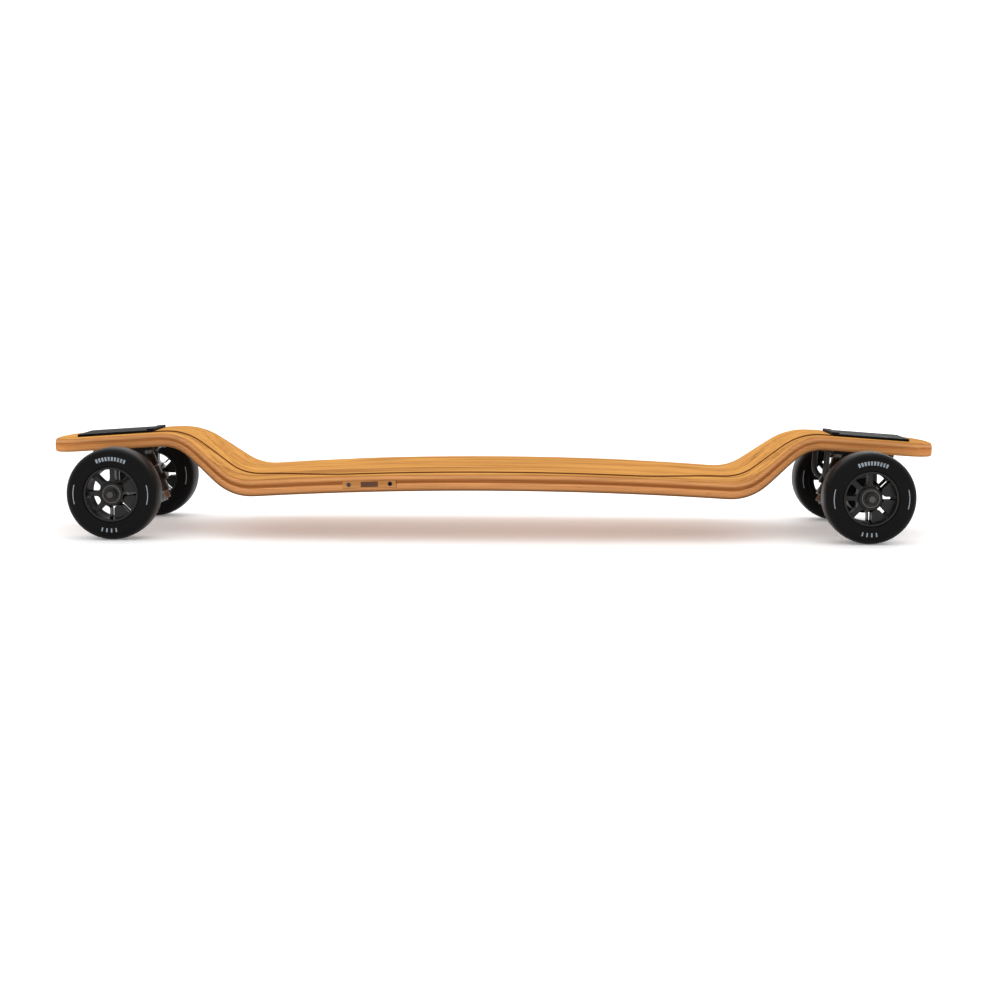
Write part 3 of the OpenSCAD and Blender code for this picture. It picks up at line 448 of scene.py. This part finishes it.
# ---- The deck's curves, read from the CAD solids -----------------------------------------------
def tree_of(node):
    mesh = NODES[node].data
    mesh.calc_loop_triangles()
    verts = [v.co.copy() for v in mesh.vertices]
    return BVHTree.FromPolygons(verts, [tuple(t.vertices) for t in mesh.loop_triangles])


def smoothed(values, width):
    """A running mean whose ends stay put."""
    kernel = np.hanning(2 * width + 3)[1:-1]
    kernel /= kernel.sum()
    values = np.asarray(values, float)
    left = 2 * values[0] - values[1:width + 1][::-1]
    right = 2 * values[-1] - values[-width - 1:-1][::-1]
    return np.convolve(np.concatenate([left, values, right]), kernel, "valid")


class DeckCurves:
    """Heights of the plies' faces and half widths of the deck and lid, as functions of x."""

    def __init__(self):
        self.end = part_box("deck_bottom_ply")[1].x
        self.lid_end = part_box("battery_lid")[1].x
        low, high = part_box("battery_bms")
        slack_x, slack_y = 1.8 * MM, 2.0 * MM
        self.bay_x = -low.x + slack_x
        self.bay_y = high.y + slack_y
        bottom, top, lid = (tree_of(n) for n in ("deck_bottom_ply", "deck_top_ply", "battery_lid"))
        side, tip = 30 * MM, 50 * MM
        up, down = Vector((0, 0, 1)), Vector((0, 0, -1))

        def hit(tree, x, y, way):
            return tree.ray_cast(Vector((x, y, 0.5 if way.z < 0 else -0.5)), way)[0].z

        lid_xs = np.linspace(0, self.lid_end - MM, 200)
        lid_top = np.array([hit(lid, x, side, down) for x in lid_xs])
        self.lid_half = self._walls(lid, lid_xs, lid_top - MM)
        xs = np.linspace(0, self.end - 0.4 * MM, 270)
        rows = {"under": [], "seam": [], "shelf": [], "over": []}
        for x in xs:
            near = side if x < self.end - tip else MM
            shelf_y = self.bay_y + 5 * MM if x < self.bay_x + 2 * MM else near
            over_y = np.interp(x, *self.lid_half) + 7 * MM if x < self.lid_end + 2 * MM else near
            rows["under"].append(hit(bottom, x, near, up))
            rows["seam"].append(hit(bottom, x, near, down))
            rows["shelf"].append(hit(top, x, shelf_y, up))
            rows["over"].append(hit(top, x, over_y, down))
        self.xs = xs
        self.rows = {k: smoothed(v, 3) for k, v in rows.items()}
        inner = lid_xs < self.lid_end - 5 * MM
        self.proud = float(np.mean(lid_top[inner] - self.z("over", lid_xs[inner])))
        beyond = self.bay_x + 50 * MM
        self.recess = float(self.z("over", beyond)) - hit(lid, beyond, side, up)
        mid = (self.rows["under"] + self.rows["seam"]) / 2
        self.half = self._walls(bottom, xs[xs < self.end - tip], mid)
        self.tip = self._tip(bottom, mid)

    def _walls(self, tree, xs, heights):
        found = []
        for x, z in zip(xs, heights):
            found.append(tree.ray_cast(Vector((x, 0.3, z)), Vector((0, -1, 0)))[0].y)
        return xs, smoothed(found, 4)

    def _tip(self, tree, mid):
        """The rounded tip, as points from the +X end round to where the straight neck starts."""
        root = self.half[0][-1]
        points = []
        for a in np.linspace(0, 90, 31):
            way = Vector((math.cos(math.radians(a)), math.sin(math.radians(a)), 0))
            far = Vector((root, 0, np.interp(root + 0.022 * way.x, self.xs, mid))) + way * 0.2
            points.append(tree.ray_cast(far, -way)[0].xy)
        pts = np.array(points)
        return np.column_stack([smoothed(pts[:, 0], 2), smoothed(pts[:, 1], 2)])

    def z(self, row, x):
        return np.interp(np.abs(x), self.xs, self.rows[row])

    def outline(self, extra=()):
        """Stations from the -X tip to the +X tip: positions on the +Y outline and its normals."""
        xs, half = self.half
        straight = np.unique(np.concatenate([np.arange(0, xs[-1], 5 * MM), [xs[-1]], list(extra)]))
        quarter = np.vstack([
            np.column_stack([straight, np.interp(straight, xs, half)]),
            self.tip[::-1][1:],
        ])
        quarter[-1, 1] = 0
        full = np.vstack([quarter[::-1] * [-1, 1], quarter[1:]])
        step = np.gradient(full, axis=0)
        normal = np.column_stack([-step[:, 1], step[:, 0]])
        normal /= np.linalg.norm(normal, axis=1)[:, None] + 1e-12
        normal[0], normal[-1] = (-1, 0), (1, 0)
        return full, normal


def loft(name, chains, closed, layers, edges):
    """A solid from one chain of points per station, for the +Y half, mirrored. Where closed is
    true the chain's two ends are joined; elsewhere they lie on the middle plane and weld."""
    stations, count = chains.shape[:2]
    verts = np.vstack([chains.reshape(-1, 3), chains.reshape(-1, 3) * [1, -1, 1]])
    other = stations * count
    faces = []
    for i in range(stations - 1):
        for k in range(count if closed[i] or closed[i + 1] else count - 1):
            a, b = i * count + k, i * count + (k + 1) % count
            c, d = a + count, b + count
            faces.append((a, b, d, c))
            faces.append((a + other, c + other, d + other, b + other))
    marks = {"layer": np.tile(np.ravel(layers), 2), "edge": np.tile(np.ravel(edges), 2)}
    return new_object(name, verts, faces, angle=40, weld=2e-6, marks=marks)


def edge_profile(r_low, r_high, steps=5):
    """(inset, from, lift) points up a ply's edge: from 0 is its lower face, from 1 its upper."""
    turns = np.linspace(0, math.pi / 2, steps + 1)
    low = [(r_low * (1 - math.sin(a)), 0, r_low * (1 - math.cos(a))) for a in turns] if r_low else [(0, 0, 0)]
    high = [(r_high * (1 - math.cos(a)), 1, -r_high * (1 - math.sin(a))) for a in turns]
    return low + (high if r_high else [(0, 1, 0)])


def build_ply(name, curves, low, high, r_low, r_high, opening=False, across=6):
    """One deck ply, its edge rounded, and with the lid's recess and the battery bay if asked."""
    gap, rim = 0.55 * MM, 0.6 * MM
    steps = []
    if opening:
        for x in (curves.bay_x, curves.lid_end + gap):
            steps += [x, x + 0.02 * MM]
    outline, normal = curves.outline(steps)
    profile = edge_profile(r_low, r_high)
    reach = max(r_low, r_high)
    chains, closed, layers, edges = [], [], [], []
    for (x, w), (nx, ny) in zip(outline, normal):
        ax = abs(x)
        bay = curves.bay_y if opening and ax <= curves.bay_x + 0.001 * MM else 0.0
        lid = 0.0
        if opening and ax <= curves.lid_end + gap + 0.001 * MM:
            lid = float(np.interp(ax, *curves.lid_half)) + gap
        depth = curves.recess if lid else 0.0
        corner = rim if lid else 0.0
        points = [(x, bay, 0, 0.0)]
        points += [(x - inset * nx, max(w - inset * ny, 0.0), side, lift) for inset, side, lift in profile]
        last_x, last_y = points[-1][:2]
        inner, end_x = (lid + rim, x) if lid else (0.0, last_x)
        for k in range(1, across):
            f = k / across
            points.append((last_x + (end_x - last_x) * f, last_y + (inner - last_y) * f, 1, 0.0))
        points += [
            (end_x, inner, 1, 0.0), (end_x, lid + 0.3 * corner, 1, -0.3 * corner), (end_x, lid, 1, -corner),
            (end_x, lid, 1, -depth), (end_x, bay if lid else 0.0, 1, -depth),
        ]
        floor, roof = ([float(curves.z(row, p[0])) for p in points] for row in (low, high))
        heights = [(b if p[2] else a) + p[3] for p, a, b in zip(points, floor, roof)]
        chains.append([(p[0], p[1], h) for p, h in zip(points, heights)])
        layers.append([(h - a) / (b - a) for h, a, b in zip(heights, floor, roof)])
        edges.append([0] + [1 - inset / reach for inset, _, _ in profile] + [0] * (across + 4))
        closed.append(bay > 0)
    return loft(name, np.array(chains), closed, layers, edges)


def mark_layers(mesh, curves):
    """Marks a core ply's height between the two outer plies, for the bands on its edge."""
    at = np.empty(3 * len(mesh.vertices))
    mesh.vertices.foreach_get("co", at)
    x, _, z = at.reshape(-1, 3).T
    low, high = curves.z("seam", x), curves.z("shelf", x)
    for mark, values in (("layer", (z - low) / (high - low)), ("edge", np.ones(len(x)))):
        mesh.attributes.new(mark, "FLOAT", "POINT").data.foreach_set("value", values.astype("f"))


def build_lid(name, curves, across=8):
    """The lid, standing a little above the deck's top, with its upper edge broken."""
    r, thick = 0.45 * MM, curves.recess + curves.proud - 0.1 * MM
    xs = np.arange(0, curves.lid_end, 5 * MM)
    xs = np.concatenate([xs, [curves.lid_end - r, curves.lid_end - 0.3 * r, curves.lid_end]])
    xs = np.unique(np.concatenate([-xs, xs]))
    chains = []
    for x in xs:
        w = float(np.interp(abs(x), *curves.lid_half))
        near = max(0.0, abs(x) - (curves.lid_end - r))
        drop = r - math.sqrt(max(r * r - near * near, 0))
        top = float(curves.z("over", x)) + curves.proud - drop
        floor = float(curves.z("over", x)) + curves.proud - thick
        shoulder = min(top, floor + thick - r)
        chain = [(x, 0, floor), (x, w, floor), (x, w, shoulder), (x, w - 0.3 * r, (shoulder + 3 * top) / 4)]
        chain += [(x, w - r - (w - r) * k / across, top) for k in range(across + 1)]
        chains.append(chain)
    ends = [[(c[0], 0, c[2]) for c in chains[i]] for i in (0, -1)]
    chains = np.array([ends[0]] + chains + [ends[1]])
    # The lid's side wall is marked as edge, so it takes the dark painted shade that stands for the shadow in
    # the gap round the lid.
    edge = [0, 1, 1, 0.6, 0] + [0] * across
    return loft(name, chains, [False] * len(chains), np.full(chains.shape[:2], 0.5), [edge] * len(chains))


def islands(node):
    """(lowest, highest) corners of each loose part of a CAD node."""
    bm = bmesh.new()
    bm.from_mesh(NODES[node].data)
    bmesh.ops.remove_doubles(bm, verts=bm.verts, dist=1e-6)
    left, found = set(bm.verts), []
    while left:
        stack, part = [left.pop()], []
        while stack:
            v = stack.pop()
            part.append(v.co.copy())
            for e in v.link_edges:
                other = e.other_vert(v)
                if other in left:
                    left.remove(other)
                    stack.append(other)
        co = np.array(part)
        found.append((Vector(co.min(0)), Vector(co.max(0))))
    bm.free()
    return found


def drill(obj, holes):
    """Cuts upright round holes, each (x, y, z from, z to, radius), out of a piece."""
    bm = bmesh.new()
    for x, y, z0, z1, r in holes:
        bmesh.ops.create_cone(
            bm, cap_ends=True, segments=40, radius1=r, radius2=r, depth=z1 - z0,
            matrix=Matrix.Translation((x, y, (z0 + z1) / 2)),
        )
    mesh = bpy.data.meshes.new("cutter")
    bm.to_mesh(mesh)
    bm.free()
    cutter = bpy.data.objects.new("cutter", mesh)
    bpy.context.collection.objects.link(cutter)
    mod = obj.modifiers.new("holes", "BOOLEAN")
    mod.object = cutter
    mod.operation = "DIFFERENCE"
    mod.solver = "EXACT"
    apply_modifiers(obj)
    bpy.data.objects.remove(cutter)
    soft_edges(obj.data, 40)


def build_deck():
    curves = DeckCurves()
    top = build_ply("deck_top", curves, "shelf", "over", 0.0, 3.6 * MM, opening=True)
    dress(top, "ply_top", "deck", "deck_top_ply")
    bottom = build_ply("deck_bottom", curves, "under", "seam", 3.0 * MM, 0.0)
    head = 4.3 * MM
    drill(bottom, [
        ((lo.x + hi.x) / 2, (lo.y + hi.y) / 2, lo.z - 6 * MM, lo.z + 2.6 * MM, head)
        for lo, hi in islands("lid_screws")
    ])
    dress(bottom, "ply_bottom", "deck", "deck_bottom_ply")
    lid = build_lid("lid", curves)
    dress(lid, "lid_wood", "deck", "battery_lid")
    core = detail("deck_core_ply", "ply_core", "deck", bevel=0)
    mark_layers(core.data, curves)


# ---- Wheels ------------------------------------------------------------------------------------
def rounded_window(r_in, r_out, half_spoke, pitch, r_corner, steps=5):
    """The outline of one window between two spokes, with rounded corners."""
    def edge_angle(r):
        return pitch / 2 - math.asin(half_spoke / r)

    def along(r, count):
        turns = np.linspace(-edge_angle(r), edge_angle(r), count)
        return [Vector((r * math.cos(a), r * math.sin(a))) for a in turns]

    arc_out = along(r_out, 7)
    first, last = along(r_in, 2)
    path = [first] + arc_out + [last]
    out = []
    for i, p in enumerate(path):
        before, after = path[i - 1], path[(i + 1) % len(path)]
        u, v = (before - p).normalized(), (after - p).normalized()
        if u.dot(v) < -0.85:
            out.append(p)
            continue
        reach = min(r_corner, (before - p).length * 0.45, (after - p).length * 0.45)
        if i in (1, len(path) - 2):
            reach = min(r_corner, 0.9 * (arc_out[1] - arc_out[0]).length)
        a, b = p + u * reach, p + v * reach
        out += [(a.lerp(p, t)).lerp(p.lerp(b, t), t) for t in np.linspace(0, 1, steps + 1)]
    return out


def spoke_disc(name, r_in, r_out, half_t, spokes, half_spoke, at, bevel=0.9 * MM):
    curve = bpy.data.curves.new(name, "CURVE")
    curve.dimensions = "2D"
    curve.fill_mode = "BOTH"
    curve.extrude = half_t - bevel
    curve.bevel_depth = bevel
    curve.bevel_resolution = 3
    curve.offset = -bevel

    def loop(points):
        spline = curve.splines.new("POLY")
        spline.points.add(len(points) - 1)
        for point, (x, y) in zip(spline.points, points):
            point.co = (x, y, 0, 1)
        spline.use_cyclic_u = True

    loop(arc(0, 0, r_out, 0, 360, 96)[:-1])
    loop(arc(0, 0, r_in - 3.2 * MM, 360, 0, 64)[:-1])
    pitch = 2 * math.pi / spokes
    window = rounded_window(r_in, r_out - 1.6 * MM, half_spoke, pitch, 3.4 * MM)
    for i in range(spokes):
        turn = Matrix.Rotation((i + 0.5) * pitch, 2)
        loop([tuple(turn @ p) for p in reversed(window)])
    maker = bpy.data.objects.new(name + "_curve", curve)
    bpy.context.collection.objects.link(maker)
    bpy.context.view_layer.update()
    mesh = bpy.data.meshes.new_from_object(maker.evaluated_get(bpy.context.evaluated_depsgraph_get()))
    bpy.data.objects.remove(maker)
    mesh.transform(Matrix.Rotation(math.pi / 2, 4, "X"))
    bm = bmesh.new()
    bm.from_mesh(mesh)
    bmesh.ops.remove_doubles(bm, verts=bm.verts, dist=1e-6)
    bmesh.ops.recalc_face_normals(bm, faces=bm.faces)
    bm.to_mesh(mesh)
    bm.free()
    soft_edges(mesh, 40)
    obj = bpy.data.objects.new(name, mesh)
    obj.location = at
    bpy.context.collection.objects.link(obj)
    return obj


def join(name, parts):
    """Joins meshes that share a material into one piece, keeping the first one's origin."""
    base = parts[0]
    bpy.context.view_layer.update()
    bm = bmesh.new()
    for part in parts:
        mesh = part.data.copy()
        mesh.transform(base.matrix_world.inverted() @ part.matrix_world)
        bm.from_mesh(mesh)
    mesh = bpy.data.meshes.new(name)
    bm.to_mesh(mesh)
    bm.free()
    obj = bpy.data.objects.new(name, mesh)
    obj.matrix_world = base.matrix_world.copy()
    bpy.context.collection.objects.link(obj)
    for part in parts:
        bpy.data.objects.remove(part)
    soft_edges(mesh, 40)
    return obj


def mirrored(points):
    return points + [(r, -y) for r, y in reversed(points)]


def build_tyre(wheel, node, body):
    outer = half_height(node)
    half_w = half_width(node)
    rim = half_height(node.replace("tyre", "core"))
    shoulder = 9.5 * MM
    crown = 0.7 * MM
    side = [
        (rim, half_w - 2.2 * MM), (rim + 0.5 * MM, half_w - 1.2 * MM), (rim + 1.3 * MM, half_w - 0.5 * MM),
        (rim + 2.4 * MM, half_w - 0.25 * MM), (rim + 4.2 * MM, half_w - 0.75 * MM),
        (rim + 7.5 * MM, half_w - 0.25 * MM), (outer - shoulder - crown - 1.5 * MM, half_w),
    ]
    side += [(r, y) for y, r in arc(half_w - shoulder, outer - shoulder - crown, shoulder, 0, 90, 10)]
    side += [(outer - 0.55 * crown, half_w * 0.55), (outer - 0.12 * crown, half_w * 0.25), (outer, 0.5 * MM)]
    piece = lathe(wheel + "_tyre", mirrored(side), centre_of(node), 160)
    dress(piece, "tyre_urethane", body, node)


def build_core(wheel, node, body, spokes=8):
    at = centre_of(node)
    rim = half_height(node)
    half_w = half_width(node)
    bearing = half_height("front_left_bearings")
    hub = bearing + 2.6 * MM
    rim_t = 2.4 * MM
    lip = 1.0 * MM
    inner = rim - rim_t
    barrel = lathe("barrel", mirrored([
        (inner, 0.4 * MM), (inner, half_w - lip - 3 * MM), (inner - 0.5 * MM, half_w - lip),
        (inner - 0.1 * MM, half_w - 0.25 * lip), (inner + 0.6 * MM, half_w), (rim - 0.5 * MM, half_w),
        (rim, half_w - 0.5 * MM), (rim, 0.4 * MM),
    ]), at, 128)
    hub_half = half_width("front_left_bearings")
    sleeve = lathe("sleeve", mirrored([
        (bearing - 2 * MM, 0.4 * MM), (bearing - 2 * MM, hub_half - 7 * MM), (bearing, hub_half - 7 * MM),
        (bearing, hub_half - 0.5 * MM), (bearing + 0.5 * MM, hub_half), (hub - 0.8 * MM, hub_half),
        (hub, hub_half - 0.8 * MM), (hub + 0.5 * MM, hub_half - 8 * MM), (hub + 1.6 * MM, hub_half - 13 * MM),
        (hub + 1.6 * MM, 0.4 * MM),
    ]), at, 96)
    outwards = 1 if at.y > 0 else -1
    disc_half, sunk, half_spoke = 8 * MM, 8 * MM, 2.9 * MM
    disc_at = at + Vector((0, outwards * (half_w - sunk - disc_half), 0))
    disc = spoke_disc("disc", hub + 2.2 * MM, inner + 1.5 * MM, disc_half, spokes, half_spoke, disc_at)
    dress(join(wheel + "_core", [barrel, sleeve, disc]), "core_nylon", body, node)


def bearing_parts(centre_y, at, half_t, outer, bore):
    """The races and the seal of one bearing whose middle lies at centre_y from at."""
    y0, y1 = centre_y - half_t, centre_y + half_t
    race = 2.0 * MM
    e = 0.35 * MM

    def ring(r0, r1, a, b):
        up = [(r0, a + e), (r0, b - e), (r0 + e, b)]
        return up + [(r1 - e, b), (r1, b - e), (r1, a + e), (r1 - e, a), (r0 + e, a)]

    parts = [
        lathe("race_out", ring(outer - race, outer, y0, y1), at, 72),
        lathe("race_in", ring(bore, bore + race, y0, y1), at, 72),
    ]
    inset = 0.7 * MM
    lap = 0.01 * MM
    seal = lathe("seal", ring(bore + race - lap, outer - race + lap, y0 + inset, y1 - inset), at, 72)
    return parts, seal


def build_bearings(wheel, node, body, colour, seal_colour, bore):
    at = centre_of(node)
    outer = half_height(node)
    half_t = 3.5 * MM
    reach = half_width(node) - half_t
    steel, seals = [], []
    for sign in (-1, 1):
        parts, seal = bearing_parts(sign * reach, at, half_t, outer, bore)
        steel += parts
        seals.append(seal)
    dress(join(wheel + "_races", steel), colour, body, node)
    dress(join(wheel + "_seals", seals), seal_colour, body)


def build_wheels():
    for end in ENDS:
        for side in SIDES:
            wheel = f"{end}_{side}"
            body = wheel + "_wheel"
            build_tyre(wheel, wheel + "_tyre", body)
            build_core(wheel, wheel + "_core", body)
            if end == "front":
                build_bearings(wheel, wheel + "_bearings", body, "bearing_steel", "socket_black", 4.05 * MM)
            else:
                build_bearings(wheel, wheel + "_hub_adaptors", body, "bearing_steel", "socket_black", 5 * MM)
                detail(wheel + "_drive_shaft", "shaft_steel", body, 0.5)
                detail(wheel + "_rotor", "magnet_steel", body, 0.5)
                detail(wheel + "_axle_nut", "dark_steel", body, 0.5)


# ---- Trucks, plates and small parts ------------------------------------------------------------
def build_bushings(end):
    """Two soft rings round the kingpin."""
    node = end + "_bushings"
    one, other = ((low + high) / 2 for low, high in islands(node))
    middle = (one + other) / 2
    for name, pick in (("upper", max), ("lower", min)):
        centre = pick(one, other, key=lambda c: c.z)
        away = (centre - middle).normalized()
        ring = detail(node, "bushing_urethane", None, 0)
        ring.name = f"{end}_bushing_{name}"
        bm = bmesh.new()
        bm.from_mesh(ring.data)
        bmesh.ops.delete(bm, geom=[v for v in bm.verts if (v.co - middle).dot(away) < 0], context="VERTS")
        turn = math.radians(30)
        sharp = [e for e in bm.edges if len(e.link_faces) == 2 and e.calc_face_angle() > turn]
        bmesh.ops.bevel(bm, geom=sharp, offset=0.8 * MM, segments=3, affect="EDGES", clamp_overlap=True)
        bm.to_mesh(ring.data)
        bm.free()
        soft_edges(ring.data)
        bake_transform(ring)


def build_trucks():
    for end in ENDS:
        cast(end + "_hanger", "truck_black", end + "_truck")
        cast(end + "_baseplate", "truck_black", "deck", smooth=3)
        detail(end + "_cover_plate", "cover_black", "deck", 0.7, 30, 3)
        detail(end + "_pivot_cup", "cup_urethane", "deck", 0.4)
        detail(end + "_kingpin", "zinc_steel", "deck", 0.5)
        detail(end + "_kingpin_nut", "zinc_steel", "deck", 0.6)
        detail(end + "_kingpin_washers", "zinc_steel", "deck", 0.3)
        build_bushings(end)
    detail("front_axle", "shaft_steel", "front_truck", 0.6)
    detail("front_axle_spacers", "zinc_steel", "front_truck", 0.4)
    detail("front_axle_nuts", "dark_steel", "front_truck", 0.5)
    detail("motor_end_caps", "truck_black", "rear_truck", 0.5)
    detail("motor_stators", "copper", "rear_truck", 0.3)
    detail("shaft_bearings", "bearing_steel", "rear_truck", 0.4)


DECK_PARTS = {
    "lid_screws": ("dark_steel", 0.3), "battery_cells": ("cell_wrap", 1.2), "cell_links": ("nickel", 0.08),
    "battery_bms": ("circuit_green", 0.4), "motor_controller": ("controller_alloy", 0.25),
    "radio_receiver": ("receiver_blue", 0.6), "wiring_harness": ("wire_black", 0.4),
    "side_panel": ("panel_wood", 0.3), "battery_gauge": ("gauge_glass", 0.25),
    "charge_socket": ("socket_black", 0.2), "truck_bolts": ("dark_steel", 0.25),
    "truck_nuts": ("zinc_steel", 0.4), "lead_grommets": ("wire_black", 0.5),
}


def build_small_parts():
    for node, (material, bevel) in DECK_PARTS.items():
        detail(node, material, "deck", bevel)
    detail("power_button", "button_black", "button", 0.4)
    leads = detail("motor_leads", "wire_black", None, 0)
    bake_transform(leads)


# ---- Studio ------------------------------------------------------------------------------------
def add_area(name, place, aim, size, power, colour=(1, 1, 1)):
    data = bpy.data.lights.new(name, "AREA")
    data.shape = "RECTANGLE"
    data.size, data.size_y = size
    data.energy = power
    data.color = colour
    obj = bpy.data.objects.new(name, data)
    obj.location = place
    obj.rotation_euler = (Vector(aim) - Vector(place)).to_track_quat("-Z", "Y").to_euler()
    bpy.context.collection.objects.link(obj)


def add_studio():
    size = 30.0
    corners = [(-size, -size, 0), (size, -size, 0), (size, size, 0), (-size, size, 0)]
    floor = new_object("floor", corners, [(0, 1, 2, 3)])
    p = Paint("studio_floor", rough=0.6, spec=0.2)
    cloud = p.noise(p.coord, 1.5, 3)
    p.put("Base Color", p.mix(cloud, (0.93, 0.93, 0.93), (0.95, 0.95, 0.95)))
    p.shader.inputs["Emission Color"].default_value = (1, 1, 1, 1)
    p.shader.inputs["Emission Strength"].default_value = 0.18
    floor.data.materials.append(p.mat)
    world = bpy.data.worlds.new("studio")
    bpy.context.scene.world = world
    world.use_nodes = True
    sky = world.node_tree.nodes["Background"].inputs
    sky["Color"].default_value = (1, 1, 1, 1)
    sky["Strength"].default_value = 1.12
    middle = (0, 0, 0.08)
    add_area("overhead", (0.0, 0.2, 2.2), middle, (2.6, 1.6), 6)
    add_area("front_fill", (-0.6, -2.6, 1.4), middle, (2.0, 1.2), 5)
    add_area("back_fill", (0.4, 2.6, 0.9), (0, 0, 0), (2.6, 0.9), 9)
    bpy.context.scene.view_settings.view_transform = "Standard"


add_camera()
PAINTS = make_materials()
build_deck()
build_wheels()
build_trucks()
build_small_parts()
add_studio()
